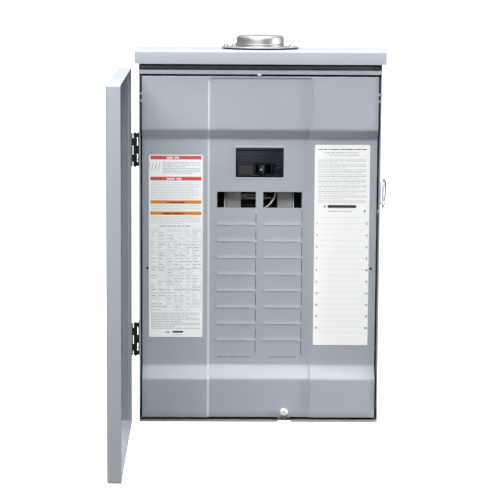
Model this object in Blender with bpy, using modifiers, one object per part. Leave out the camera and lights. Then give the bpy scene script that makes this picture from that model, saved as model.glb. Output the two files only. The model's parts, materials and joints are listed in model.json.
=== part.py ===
"""Outdoor residential load center: enclosure, dead front, interior and hinged door.

Metres, +Z up. The enclosure hangs on a wall: its back lies in the plane Y = 0 and its front looks
towards -Y. The origin is on the back, ORIGIN_HEIGHT above the bottom edge. The door is modelled
open at a right angle, on the left; turning it +90 degrees about its hinge axis closes it.
"""

from math import cos, radians, sin

import bmesh
import bpy
from mathutils import Matrix, Vector

# Enclosure
BOX_WIDTH = 0.362
BOX_DEPTH = 0.095
BOX_SIDE_HEIGHT = 0.5632
ORIGIN_HEIGHT = 0.270
STEEL = 0.0015
COVER_STEEL = 0.0012
CLEARANCE = 0.0003
WASHER_GAP = 0.0003

WALL_HOLE = 0.0035
SCREW_HOLE = 0.0022
BAR_HOLE = 0.0024
BOTTOM_LIP = 0.0028
BOTTOM_NOTCH = ((0.0296, 0.0494), (-0.003, 0.0120), (-0.003, 0.0100))
HEADER_HALF = 0.1814
HEADER_PATH = ((0.0080, 0.5629), (0.0080, 0.53525), (-0.00105, 0.53525), (-0.00105, 0.5295))
BRACKET_LEFT = 0.0300
BRACKET_WIDTH = 0.018
BRACKET_PATH = ((0.0210, 0.0027), (0.0068, 0.0027), (0.0068, 0.0240))
CATCH = ((0.1776, 0.1792), (0.0006, 0.0130), (0.3175, 0.3255))

# Screws: head radius, head height, shank radius, shank length
CAP_SCREW = (0.0036, 0.0034, 0.0020, 0.0095)
FRONT_SCREW = (0.0043, 0.0050, 0.0022, 0.0120)
PAN_SCREW = (0.0036, 0.0030, 0.0017, 0.0028)
LOAD_BOLT = (0.0046, 0.0032, 0.0022, 0.0150)
GROUND_SCREW = (0.0038, 0.0030, 0.0018, 0.0145)
BOND_SCREW = (0.0042, 0.0034, 0.0019, 0.0368)
FRONT_SCREW_WASHER = 0.0060
WASHER = 0.0011

# Rain hood and the closing cap over its conduit opening
HOOD_WIDTH = 0.3728
HOOD_OVERHANG = 0.0192
HOOD_TOP = 0.565
HOOD_LIP = 0.0197
HUB_BEHIND = 0.047
HUB_OPENING_RADIUS = 0.0318
CAP_PLATE_HALF = (0.059, 0.0440)
CAP_WALL = 0.0012
CAP_DOME_RADIUS = 0.0358
CAP_DOME_HEIGHT = 0.0181
CAP_SHOULDER = 0.0050
DOME_CROWN = 0.0006
CAP_SCREWS = {"left": (-0.0515, 0.0018), "right": (0.0460, -0.0150), "rear": (-0.0385, 0.0235)}
GASKET_HALF = (0.0560, 0.0410)
GASKET = 0.0016

# Breaker spaces: two columns of ten, on a pitch of one inch
SPACE_PITCH = 0.0254
SPACE_ROWS = 10
SPACE_TOP = 0.351
SLOT_INNER = 0.0055
SLOT_OUTER = 0.0641
SLOT_HEIGHT = 0.0243
TWISTOUT_SLIT = 0.0008

# Dead front: side sections stand proud of the middle one, and the breaker area is recessed
FRONT_WIDTH = 0.354
FRONT_LOW = 0.007
FRONT_HIGH = 0.526
FRONT_FLAT = 0.0015
FRONT_RECESS = 0.0174
FRONT_SKIRT = 0.026
MIDDLE_STEP = 0.003
MIDDLE_HALF = 0.0768
RECESS_LOW = (0.0672, 0.0842)
RECESS_HIGH = (0.4303, 0.446)
HALF_CREASE = 0.0012
CATCH_HOLE = (0.1693, 0.2343)
CATCH_HOLE_RADIUS = 0.0019
FRONT_SCREW_HOLE = 0.0030
SKIRT_NOTCH = ((0.0270, 0.0510), (0.0058, 0.0300), (0.0, 0.0120))
HOOK_X = (0.1762, 0.1791)
HOOK_DEPTH = (0.0009, 0.0150)
HOOK_MIDDLES = (0.4895, 0.4998)
HOOK_HALF = 0.0018
THROUGH_FRONT = (0.010, 0.035)
SLIT_STOP = 0.005
SIDE_SLIT_STOP = 0.004
LABEL = 0.0003
LABELS = {"wiring_label": ((-0.1669, -0.0855), (0.1283, 0.4070)),
          "directory_label": ((0.0828, 0.1660), (0.1166, 0.4230))}

# Interior: formed pan, plastic base, bus bars, straps and breaker rails
PAN_PATH = ((-0.0920, 0.0926), (-0.0784, 0.0926), (-0.0784, 0.0790),
            (0.0784, 0.0790), (0.0784, 0.0926), (0.0920, 0.0926))
PAN_LOW = 0.080
PAN_HEIGHT = 0.400
PAN_FACE = 0.0920
BASE = ((-0.0600, 0.0600), (0.0680, 0.0781), (0.0970, 0.4720))
BASE_RIB = (0.0580, 0.0600)
BASE_RIB_DEPTH = (0.0600, 0.0700)
BASE_RIB_HEIGHT = (0.0970, 0.3640)
BUS_X = (0.0275, 0.0505)
BUS_DEPTH = (0.0640, 0.0675)
BUS_HEIGHT = (0.1000, 0.3540)
FINGER_X = (0.0290, -0.0120)
FINGER_DEPTH = (0.0643, 0.0668)
FINGER_HALF = 0.0050
STAB_HALF = (0.0190, 0.0012)
STAB_DEPTH = (0.0475, 0.0655)
STRAP_PATH = ((0.0480, 0.3710), (0.0480, 0.3390), (0.0624, 0.3190), (0.0624, 0.3080))
STRAP_INSET = 0.0005
STRAP_WIDTH = 0.0220
STRAP = 0.0020
LOAD_BOLT_PLACE = (0.0390, 0.3510)
LOAD_BOLT_HOLE = 0.0026
LOAD_BOLT_SEAT = 0.0470
RAIL_PATH = ((0.0752, 0.0775), (0.0645, 0.0775), (0.0645, 0.0530), (0.0720, 0.0530))
RAIL_LOW = 0.0970
RAIL_HEIGHT = 0.2640

# Neutral and ground bars
NEUTRAL_X = (0.0950, 0.1070)
NEUTRAL_DEPTH = (0.0580, 0.0697)
NEUTRAL_HEIGHT = (0.0830, 0.3490)
SUPPORT_X = (0.0940, 0.1080)
SUPPORT_DEPTH = (0.0700, 0.0932)
SUPPORT_HEIGHT = (0.1300, 0.3450)
CROSS_STRAP = ((-0.1070, 0.1070), (0.0700, 0.0720), (0.0835, 0.0945))
NEUTRAL_LUG = ((-0.1125, -0.0905), (0.0500, 0.0740), (0.3493, 0.3760))
NEUTRAL_LUG_WAY = (-0.1015, 0.0640)
NEUTRAL_LUG_SCREW = 0.3660
GROUND_BAR = ((-0.1600, -0.1500), (0.0800, 0.0932), (0.0620, 0.1680))
JUMPER_RADIUS = 0.0013
JUMPER_START = (0.0250, 0.0410, 0.3710)
JUMPER_BEND = (-0.0010, 0.0410, 0.3520)
JUMPER_SWEEP = (0.0260, 0.003, 0.0300)

# Main breaker and its handle, which throws left to right about an upright axis
BREAKER_WINDOW = ((-0.0360, 0.3728), (0.0360, 0.4174))
WINDOW_GAP = 0.0007
BREAKER_FACE = (0.0182, 0.0260)
BREAKER_CASE = ((-0.0385, 0.0385), (0.0245, 0.0677), (0.3722, 0.4720))
LUG_BAY = (0.0090, 0.0330)
LUG_BAY_DEPTH = (0.0200, 0.0510)
LUG_BAY_HEIGHT = (0.4420, 0.4800)
LINE_LUG_MIDDLE = 0.0210
LINE_LUG_HALF = 0.0105
LINE_LUG_DEPTH = (0.0280, 0.0500)
LINE_LUG_HEIGHT = (0.4430, 0.4690)
LINE_WIRE_WAY = (0.0400, 0.4470)
LINE_LUG_SCREW = 0.4570
HANDLE_WAY = (-0.0075, 0.0235)
HANDLE_WAY_DEPTH = (0.0100, 0.0500)
HANDLE_WAY_GAP = 0.0006
HANDLE_HUB = 0.0070
PADDLE_HALF = 0.0042
HANDLE_AXIS = (0.008, 0.0370)
HANDLE_REST_TURN = radians(-14)
HANDLE_REACH = 0.0275
HANDLE_LOW = 0.3792
HANDLE_HIGH = 0.3922

# Door, open at a right angle to the left of the box, and its two hinges
HINGE_AXIS = (-0.1870, 0.0086)
DOOR_OUTER_X = -0.2118
DOOR_RIM_X = -0.1923
DOOR_FREE_EDGE = -0.3614
DOOR_HINGE_EDGE = 0.0046
DOOR_LOW = -0.0019
DOOR_HIGH = 0.5382
DOOR_TOP_RELIEF = 0.0046
HINGE_HEIGHT = 0.0496
HINGE_LOWS = {"lower": 0.1020, "upper": 0.3905}
KNUCKLE_RADIUS = 0.0029
PIN_RADIUS = 0.0015
LEAF = 0.0015
PIN_GAP = 0.0003
PIN_STAND = 0.0012
KNUCKLE_TOPS = (0.0066, 0.0180, 0.0310, 0.0428)
BOX_LEAF_BACK = 0.0300
DOOR_LEAF_INSET = 0.0030
DOOR_LEAF_STAND = 0.0016

# Padlock hasp on the right side, a loop that swings about an upright axis
HASP_AXIS = (0.1856, 0.0100)
HASP_WIRE_RADIUS = 0.0012
HASP_LOW = 0.3290
HASP_HIGH = 0.3710
HASP_REACH = 0.0255
HASP_REST_TURN = radians(-13)
BRACKET_BEHIND = (-0.0055, 0.0120)
BRACKET_HEIGHT = (0.3330, 0.3670)
BRACKET_EARS = (0.3330, 0.3610)
BRACKET_EAR = 0.0060
BRACKET_EAR_HALF = 0.0024

# Looks: base colour, roughness, metallic
PAINT = ((0.47, 0.50, 0.53), 0.45, 0.0)
GALVANISED = ((0.56, 0.57, 0.58), 0.38, 0.9)
ZINC = ((0.75, 0.76, 0.78), 0.28, 1.0)
TINNED = ((0.80, 0.80, 0.79), 0.30, 1.0)
ALUMINIUM = ((0.72, 0.73, 0.74), 0.35, 1.0)
BLACK_STEEL = ((0.02, 0.02, 0.022), 0.42, 0.3)
BLACK_PLASTIC = ((0.014, 0.015, 0.018), 0.38, 0.0)
DARK_PLASTIC = ((0.03, 0.035, 0.04), 0.5, 0.0)
LABEL_WHITE = ((0.87, 0.87, 0.86), 0.5, 0.0)
GREEN_SCREW = ((0.03, 0.22, 0.08), 0.35, 0.6)
RUBBER = ((0.03, 0.03, 0.03), 0.8, 0.0)

for old in list(bpy.data.objects):
    bpy.data.objects.remove(old, do_unlink=True)

parts = bpy.data.collections.new("residential_load_center")
cutters = bpy.data.collections.new("cutters")
bpy.context.scene.collection.children.link(parts)
bpy.context.scene.collection.children.link(cutters)
cutters.hide_render = True


def at(x, behind, above):
    """A point from the middle line, the plane of the front rim and the bottom edge of the box."""
    return Vector((x, behind - BOX_DEPTH, above - ORIGIN_HEIGHT))


def block(x, behind, above):
    """A box given by its span in each direction."""
    low = at(x[0], behind[0], above[0])
    high = at(x[1], behind[1], above[1])
    mesh = bmesh.new()
    size = Matrix.Diagonal((*(high - low), 1))
    bmesh.ops.create_cube(mesh, size=1, matrix=Matrix.Translation((low + high) / 2) @ size)
    return mesh


def drum(start, end, radius, sides=20):
    """A cylinder between two points."""
    axis = end - start
    turn = Vector((0, 0, 1)).rotation_difference(axis).to_matrix().to_4x4()
    mesh = bmesh.new()
    bmesh.ops.create_cone(
        mesh, cap_ends=True, segments=sides, radius1=radius, radius2=radius,
        depth=axis.length, matrix=Matrix.Translation((start + end) / 2) @ turn,
    )
    return mesh


def ribbon(path, run):
    """An open strip: a path of points swept along the vector run. Solidify gives it its thickness."""
    mesh = bmesh.new()
    corners = [mesh.verts.new(point) for point in path]
    edges = [mesh.edges.new(pair) for pair in zip(corners, corners[1:])]
    swept = bmesh.ops.extrude_edge_only(mesh, edges=edges)["geom"]
    moved = [item for item in swept if isinstance(item, bmesh.types.BMVert)]
    bmesh.ops.translate(mesh, verts=moved, vec=run)
    return mesh


def skirted(mesh, edges, run):
    """Folds a skirt from some edges of an open plate."""
    swept = bmesh.ops.extrude_edge_only(mesh, edges=edges)["geom"]
    moved = [item for item in swept if isinstance(item, bmesh.types.BMVert)]
    bmesh.ops.translate(mesh, verts=moved, vec=run)


def plate(low, high, flat):
    """A rectangle between two corners that lies across the axis `flat`."""
    mesh = bmesh.new()
    bmesh.ops.create_grid(mesh, x_segments=1, y_segments=1, size=0.5)
    turns = {"X": Matrix.Rotation(radians(90), 4, "Y"), "Y": Matrix.Rotation(radians(90), 4, "X")}
    size = [max(side, 1.0e-9) for side in high - low]
    fit = Matrix.Translation((low + high) / 2) @ Matrix.Diagonal((*size, 1))
    bmesh.ops.transform(mesh, matrix=fit @ turns.get(flat, Matrix()), verts=mesh.verts)
    return mesh


def paint(obj, look):
    colour, roughness, metallic = look
    material = bpy.data.materials.new(obj.name)
    material.use_nodes = True
    shader = material.node_tree.nodes["Principled BSDF"]
    shader.inputs["Base Color"].default_value = (*colour, 1)
    shader.inputs["Roughness"].default_value = roughness
    shader.inputs["Metallic"].default_value = metallic
    obj.data.materials.append(material)


def mesh_object(name, shape, collection, origin):
    """Turns a bmesh into an object whose origin is at the given point."""
    bmesh.ops.translate(shape, verts=shape.verts, vec=-origin)
    data = bpy.data.meshes.new(name)
    shape.to_mesh(data)
    shape.free()
    obj = bpy.data.objects.new(name, data)
    obj.location = origin
    collection.objects.link(obj)
    return obj


def combine(obj, shape, operation):
    """Joins a shape to an object, or cuts it away, with a Boolean."""
    number = len(obj.modifiers)
    tool = mesh_object(f"{obj.name}_{operation.lower()}_{number}", shape, cutters, Vector())
    tool.hide_render = True
    tool.display_type = "WIRE"
    modifier = obj.modifiers.new(tool.name, "BOOLEAN")
    modifier.operation = operation
    modifier.solver = "EXACT"
    modifier.object = tool


def part(name, look, shape, wall=0.0, joined=(), cut=(), soft=0.0, origin=None, pivot=None):
    """One sub-part: a base shape, its sheet thickness if it is a sheet, what is joined and cut."""
    if origin is None:
        corners = [vert.co for vert in shape.verts]
        origin = sum(corners, Vector()) / len(corners)
    obj = mesh_object(name, shape, parts, origin)
    paint(obj, look)
    if soft:
        edges = obj.modifiers.new("soft_edges", "BEVEL")
        edges.width = soft
        edges.segments = 2
        edges.limit_method = "ANGLE"
        edges.angle_limit = radians(40)
    if wall:
        sheet = obj.modifiers.new("sheet", "SOLIDIFY")
        sheet.thickness = wall
        sheet.offset = 0
        sheet.use_even_offset = True
    for extra in joined:
        combine(obj, extra, "UNION")
    for hole in cut:
        combine(obj, hole, "DIFFERENCE")
    if pivot is not None:
        obj.parent = pivot
        obj.matrix_parent_inverse = Matrix.Translation(-pivot.location)
    obj.data.shade_smooth()
    obj.data.set_sharp_from_angle(angle=radians(35))
    return obj


def wire(name, look, points, radius, origin, pivot=None, resolution=2, closed=False):
    """A round rod along a smooth curve through the given points."""
    path = bpy.data.curves.new(name, "CURVE")
    path.dimensions = "3D"
    path.resolution_u = 4
    path.bevel_depth = radius
    path.bevel_resolution = resolution
    path.use_fill_caps = True
    line = path.splines.new("POLY")
    line.points.add(len(points) - 1)
    line.use_cyclic_u = closed
    for knot, point in zip(line.points, points):
        knot.co = (*(point - origin), 1)
    obj = bpy.data.objects.new(name, path)
    obj.location = origin
    parts.objects.link(obj)
    paint(obj, look)
    if pivot is not None:
        obj.parent = pivot
        obj.matrix_parent_inverse = Matrix.Translation(-pivot.location)
    return obj


def axis_empty(name, point):
    """The empty that a moving body turns about."""
    pivot = bpy.data.objects.new(name, None)
    pivot.location = point
    pivot.empty_display_size = 0.02
    parts.objects.link(pivot)
    return pivot


def hex_screw(name, look, seat, out, size, washer=0.0):
    """A hex-head screw: seat is the point under the head, out the direction that the head faces."""
    head_radius, head, shank_radius, shank = size
    out = out.normalized()
    base = drum(seat, seat + out * head, head_radius, 6)
    joined = [drum(seat - out * shank, seat + out * head / 2, shank_radius, 12)]
    if washer:
        joined.append(drum(seat, seat + out * WASHER, washer, 24))
    return part(name, look, base, joined=joined, origin=seat)


HALF = BOX_WIDTH / 2
INNER = HALF - STEEL - CLEARANCE
BACK_INNER = BOX_DEPTH - STEEL
OUT = Vector((0, -1, 0))
UP = Vector((0, 0, 1))


def rows():
    """The middle height of each breaker space, from the top one down."""
    return [SPACE_TOP - SPACE_PITCH * (row + 0.5) for row in range(SPACE_ROWS)]


# Places of the fasteners that pass through more than one piece
PAN_SCREWS = [(x, above) for x in (-0.0852, 0.0852) for above in (0.094, 0.468)]
GROUND_SCREWS = [(-0.155, above) for above in (0.072, 0.158)]
WALL_HOLES = [(0.0, 0.520), (-0.130, 0.035), (0.130, 0.035)]
BONDING_SCREW = (0.1010, 0.0890)
COVER_SCREW = (0.0390, 0.0146)


def through_back(x, above, radius, sides):
    """A hole through the back of the box."""
    return drum(at(x, BOX_DEPTH - 0.015, above), at(x, BOX_DEPTH + 0.015, above), radius, sides)


def build_enclosure():
    side = HALF - STEEL / 2
    back = BOX_DEPTH - STEEL / 2
    path = [at(-side, 0, 0), at(-side, back, 0), at(side, back, 0), at(side, 0, 0)]
    holes = [through_back(x, above, WALL_HOLE, 16) for x, above in WALL_HOLES]
    small = [*PAN_SCREWS, *GROUND_SCREWS, BONDING_SCREW]
    holes += [through_back(x, above, SCREW_HOLE, 12) for x, above in small]
    for sign in (-1, 1):
        span = sorted((sign * (HALF - 0.003), sign * (HALF + 0.003)))
        holes.append(block(span, (-0.01, 0.0012), (-0.01, 0.0215)))
        holes.append(block(span, (-0.01, DOOR_TOP_RELIEF), (0.5362, BOX_SIDE_HEIGHT + 0.01)))
    part("back_box", PAINT, ribbon(path, UP * BOX_SIDE_HEIGHT), wall=STEEL, cut=holes)

    # The bottom is a shallow tray between the sides; its front lip is notched under the cover screw.
    low = at(-INNER + STEEL / 2, STEEL / 2, STEEL / 2)
    high = at(INNER - STEEL / 2, BACK_INNER - CLEARANCE - STEEL / 2, STEEL / 2)
    tray = plate(low, high, "Z")
    skirted(tray, list(tray.edges), UP * BOTTOM_LIP)
    part("bottom_endwall", PAINT, tray, wall=STEEL, cut=[block(*BOTTOM_NOTCH)])

    # The header closes the front between the sides and the hood, and its lip is the bright strip.
    path = [at(-HEADER_HALF, behind, above) for behind, above in HEADER_PATH]
    trims = []
    for sign in (-1, 1):
        span = sorted((sign * INNER, sign * 0.19))
        trims.append(block(span, (-CLEARANCE, 0.02), (0.52, 0.57)))
    part("top_header", PAINT, ribbon(path, Vector((2 * HEADER_HALF, 0, 0))), wall=STEEL, cut=trims)

    # The hood is a tray with its rear side open, standing over the box on all three other sides.
    edge = HOOD_WIDTH / 2 - STEEL / 2
    low = at(-edge, -HOOD_OVERHANG + STEEL / 2, HOOD_TOP - STEEL / 2)
    high = at(edge, BOX_DEPTH, HOOD_TOP - STEEL / 2)
    hood = plate(low, high, "Z")
    folds = [e for e in hood.edges if (e.verts[0].co + e.verts[1].co).y / 2 < -0.001]
    skirted(hood, folds, UP * -(HOOD_LIP - STEEL / 2))
    opening = drum(at(0, HUB_BEHIND, 0.55), at(0, HUB_BEHIND, 0.58), HUB_OPENING_RADIUS, 40)
    part("rain_hood", PAINT, hood, wall=STEEL, soft=0.002, cut=[opening, *cap_screw_holes()])

    # Tab behind the dead front that takes its one screw.
    path = [at(BRACKET_LEFT, behind, above) for behind, above in BRACKET_PATH]
    x, above = COVER_SCREW
    hole = drum(at(x, 0.0, above), at(x, 0.02, above), 0.0026, 16)
    part("cover_screw_bracket", GALVANISED, ribbon(path, Vector((BRACKET_WIDTH, 0, 0))), wall=STEEL,
         cut=[hole])

    part("door_catch", ZINC, block(*CATCH))


def cap_screw_feet():
    """Where the closing cap's screws stand, on top of its plate."""
    top = HOOD_TOP + CLEARANCE + GASKET + CLEARANCE + CAP_WALL
    return {name: at(x, HUB_BEHIND + behind, top) for name, (x, behind) in CAP_SCREWS.items()}


def oval(half, centre, thick):
    """An upright elliptical disc that stands on centre."""
    mesh = drum(Vector(), UP * thick, 1.0, 64)
    fit = Matrix.Translation(centre) @ Matrix.Diagonal((*half, 1, 1))
    bmesh.ops.transform(mesh, matrix=fit, verts=mesh.verts)
    return mesh


def dome(radius, height, shoulder, centre):
    """A solid dome with a rounded shoulder, lathed about the upright line through centre."""
    arc = [radians(90 * step / 4) for step in range(5)]
    profile = [(radius - shoulder * (1 - cos(turn)), height - shoulder * (1 - sin(turn))) for turn in arc]
    shape = bmesh.new()
    points = [(0, 0), (radius, 0), *profile, (0, height + DOME_CROWN)]
    corners = [shape.verts.new(centre + Vector((r, 0, z))) for r, z in points]
    edges = [shape.edges.new(pair) for pair in zip(corners, corners[1:])]
    bmesh.ops.spin(shape, geom=corners + edges, cent=centre, axis=UP, angle=radians(360), steps=40)
    bmesh.ops.remove_doubles(shape, verts=shape.verts, dist=1e-6)
    bmesh.ops.recalc_face_normals(shape, faces=shape.faces)
    return shape


def cap_screw_holes():
    return [drum(foot - UP * 0.01, foot + UP * 0.01, BAR_HOLE, 12) for foot in cap_screw_feet().values()]


def build_closing_cap():
    centre = at(0, HUB_BEHIND, HOOD_TOP + CLEARANCE)
    opening = drum(centre - UP * 0.01, centre + UP * 0.01, HUB_OPENING_RADIUS, 40)
    part("hub_gasket", RUBBER, oval(GASKET_HALF, centre, GASKET), cut=[opening, *cap_screw_holes()])

    centre = centre + UP * (GASKET + CLEARANCE)
    plate = oval(CAP_PLATE_HALF, centre, CAP_WALL)
    outside = dome(CAP_DOME_RADIUS, CAP_DOME_HEIGHT, CAP_SHOULDER, centre)
    inside = dome(CAP_DOME_RADIUS - CAP_WALL, CAP_DOME_HEIGHT - CAP_WALL, CAP_SHOULDER - CAP_WALL,
                  centre - UP * CAP_WALL)
    part("hub_closing_cap", GALVANISED, plate, joined=[outside], cut=[inside, *cap_screw_holes()])
    for name, foot in cap_screw_feet().items():
        hex_screw(f"hub_cap_screw_{name}", ZINC, foot + UP * WASHER_GAP, UP, CAP_SCREW)


def front_depth(x, above):
    """How far behind the rim the face of the dead front is."""
    low = (above - RECESS_LOW[0]) / (RECESS_LOW[1] - RECESS_LOW[0])
    high = (RECESS_HIGH[1] - above) / (RECESS_HIGH[1] - RECESS_HIGH[0])
    sunk = max(0.0, min(1.0, low, high))
    step = MIDDLE_STEP if abs(x) < MIDDLE_HALF else 0.0
    return FRONT_FLAT + step + sunk * (FRONT_RECESS - FRONT_FLAT)


def build_dead_front():
    side = FRONT_WIDTH / 2 - COVER_STEEL / 2
    across = [-side, -MIDDLE_HALF - HALF_CREASE, -MIDDLE_HALF + HALF_CREASE,
              MIDDLE_HALF - HALF_CREASE, MIDDLE_HALF + HALF_CREASE, side]
    up = [FRONT_LOW + COVER_STEEL / 2, *RECESS_LOW, *RECESS_HIGH, FRONT_HIGH - COVER_STEEL / 2]
    shape = bmesh.new()
    bmesh.ops.create_grid(shape, x_segments=len(across) - 1, y_segments=len(up) - 1, size=0.5)
    for vert in shape.verts:
        x = across[round((vert.co.x + 0.5) * (len(across) - 1))]
        above = up[round((vert.co.y + 0.5) * (len(up) - 1))]
        vert.co = at(x, front_depth(x, above) + COVER_STEEL / 2, above)
    rim = [edge for edge in shape.edges if edge.is_boundary]
    swept = bmesh.ops.extrude_edge_only(shape, edges=rim)["geom"]
    for item in swept:
        if isinstance(item, bmesh.types.BMVert):
            item.co.y = FRONT_SKIRT - BOX_DEPTH

    (left, low), (right, high) = BREAKER_WINDOW
    cut = [block((left, right), THROUGH_FRONT, (low, high))]
    for sign in (-1, 1):
        span = sorted((sign * SLOT_INNER, sign * SLOT_OUTER))
        cut.append(block(span, THROUGH_FRONT, (SPACE_TOP - SLOT_HEIGHT, SPACE_TOP)))
        x, above = CATCH_HOLE
        cut.append(drum(at(sign * x, 0.01, above), at(sign * x, 0.03, above), CATCH_HOLE_RADIUS, 12))
    x, above = COVER_SCREW
    cut.append(drum(at(x, -0.01, above), at(x, 0.01, above), FRONT_SCREW_HOLE, 20))
    cut.append(twistout_slits())
    cut.append(block(*SKIRT_NOTCH))
    hooks = []
    for sign in (-1, 1):
        for above in HOOK_MIDDLES:
            span = sorted(sign * x for x in HOOK_X)
            hooks.append(block(span, HOOK_DEPTH, (above - HOOK_HALF, above + HOOK_HALF)))
    part("dead_front", PAINT, shape, wall=COVER_STEEL, joined=hooks, cut=cut)

    x, above = COVER_SCREW
    seat = at(x, FRONT_FLAT + MIDDLE_STEP - WASHER_GAP, above)
    hex_screw("dead_front_screw", ZINC, seat, OUT, FRONT_SCREW, FRONT_SCREW_WASHER)

    face = FRONT_RECESS - CLEARANCE
    for name, (span, height) in LABELS.items():
        part(name, LABEL_WHITE, block(span, (face - LABEL, face), height))


def twistout_slits():
    """The thin cuts round each closed breaker space, left open at its corners, as one cutter."""
    slits = bmesh.new()
    top = SPACE_TOP - SPACE_PITCH
    half = TWISTOUT_SLIT / 2
    for sign in (-1, 1):
        for row in range(SPACE_ROWS - 1):
            low = top - SPACE_PITCH * (row + 1)
            span = sorted((sign * (SLOT_INNER + SLIT_STOP), sign * (SLOT_OUTER - SLIT_STOP)))
            pieces = [block(span, THROUGH_FRONT, (low - half, low + half))]
            for edge in (SLOT_INNER, SLOT_OUTER):
                sides = sorted((sign * edge - half, sign * edge + half))
                height = (low + SIDE_SLIT_STOP, low + SPACE_PITCH - SIDE_SLIT_STOP)
                pieces.append(block(sides, THROUGH_FRONT, height))
            for piece in pieces:
                data = bpy.data.meshes.new("slit")
                piece.to_mesh(data)
                piece.free()
                slits.from_mesh(data)
                bpy.data.meshes.remove(data)
    return slits


def build_interior():
    # A formed pan carries the plastic base, the bus bars and the breaker rails.
    path = [at(x, behind, PAN_LOW) for x, behind in PAN_PATH]
    holes = [through_back(x, above, SCREW_HOLE, 12) for x, above in PAN_SCREWS]
    part("interior_pan", GALVANISED, ribbon(path, UP * PAN_HEIGHT), wall=COVER_STEEL, cut=holes)
    for number, (x, above) in enumerate(PAN_SCREWS, 1):
        seat = at(x, PAN_FACE - WASHER_GAP, above)
        hex_screw(f"interior_pan_screw_{number}", ZINC, seat, OUT, PAN_SCREW)

    ribs = [block(sorted(sign * x for x in BASE_RIB), BASE_RIB_DEPTH, BASE_RIB_HEIGHT) for sign in (-1, 1)]
    part("insulating_base", DARK_PLASTIC, block(*BASE), joined=ribs)

    # Each bus bar reaches across the middle line at every other space, with a stab plate there.
    for side, sign in (("left", -1), ("right", 1)):
        span = sorted(sign * x for x in BUS_X)
        bar = block(span, BUS_DEPTH, BUS_HEIGHT)
        joined = []
        for row, middle in enumerate(rows()):
            if (row % 2 == 0) != (sign < 0):
                continue
            reach = sorted(sign * x for x in FINGER_X)
            joined.append(block(reach, FINGER_DEPTH, (middle - FINGER_HALF, middle + FINGER_HALF)))
            wide, tall = STAB_HALF
            joined.append(block((-wide, wide), STAB_DEPTH, (middle - tall, middle + tall)))
        part(f"{side}_bus_bar", TINNED, bar, joined=joined)

        # The strap from the main breaker comes down in front, then slopes back to the bus bar.
        path = [at(span[0] + STRAP_INSET, behind, above) for behind, above in STRAP_PATH]
        x, above = sign * LOAD_BOLT_PLACE[0], LOAD_BOLT_PLACE[1]
        bolt = drum(at(x, 0.04, above), at(x, 0.07, above), LOAD_BOLT_HOLE, 12)
        part(f"load_strap_{side}", TINNED, ribbon(path, Vector((STRAP_WIDTH, 0, 0))), wall=STRAP, cut=[bolt])
        hex_screw(f"load_bolt_{side}", ZINC, at(x, LOAD_BOLT_SEAT - WASHER_GAP, above), OUT, LOAD_BOLT)

        # The breakers' outer ends hook onto a rail.
        path = [at(sign * x, behind, RAIL_LOW) for x, behind in RAIL_PATH]
        part(f"{side}_breaker_rail", GALVANISED, ribbon(path, UP * RAIL_HEIGHT), wall=STEEL)


def build_main_breaker():
    (left, low), (right, high) = BREAKER_WINDOW
    gap = WINDOW_GAP
    face = block((left + gap, right - gap), BREAKER_FACE, (low + gap, high - gap))
    way = (HANDLE_LOW - HANDLE_WAY_GAP, HANDLE_HIGH + HANDLE_WAY_GAP)
    cut = [block(HANDLE_WAY, HANDLE_WAY_DEPTH, way)]
    for sign in (-1, 1):
        cut.append(block(sorted(sign * x for x in LUG_BAY), LUG_BAY_DEPTH, LUG_BAY_HEIGHT))
    part("main_breaker_case", BLACK_PLASTIC, block(*BREAKER_CASE), joined=[face], cut=cut)

    # The handle is an upright hub with a paddle that stands out through the face.
    x, behind = HANDLE_AXIS
    pivot = axis_empty("breaker_handle_axis", at(x, behind, (HANDLE_LOW + HANDLE_HIGH) / 2))
    hub = drum(at(x, behind, HANDLE_LOW), at(x, behind, HANDLE_HIGH), HANDLE_HUB, 24)
    paddle = block((x - PADDLE_HALF, x + PADDLE_HALF), (behind - HANDLE_REACH, behind - 0.004),
                   (HANDLE_LOW, HANDLE_HIGH))

    lean = Matrix.Rotation(HANDLE_REST_TURN, 4, "Z")
    for shape in (hub, paddle):
        bmesh.ops.rotate(shape, verts=shape.verts, cent=pivot.location, matrix=lean)

    part("main_breaker_handle", BLACK_PLASTIC, hub, joined=[paddle], origin=pivot.location.copy(), pivot=pivot)

    for side, sign in (("left", -1), ("right", 1)):
        x, above = sign * LINE_LUG_MIDDLE, LINE_LUG_SCREW
        behind, low = LINE_WIRE_WAY
        lug = block((x - LINE_LUG_HALF, x + LINE_LUG_HALF), LINE_LUG_DEPTH, LINE_LUG_HEIGHT)
        wire_way = drum(at(x, behind, low), at(x, behind, 0.48), 0.0064, 20)
        screw_way = drum(at(x, 0.02, above), at(x, behind, above), 0.0050, 20)
        part(f"line_lug_{side}", ALUMINIUM, lug, cut=[wire_way, screw_way])
        screw = drum(at(x, 0.0262, above), at(x, 0.0345, above), 0.0047, 20)
        socket = drum(at(x, 0.02, above), at(x, 0.0300, above), 0.0025, 6)
        part(f"line_lug_screw_{side}", ZINC, screw, cut=[socket])


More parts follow.
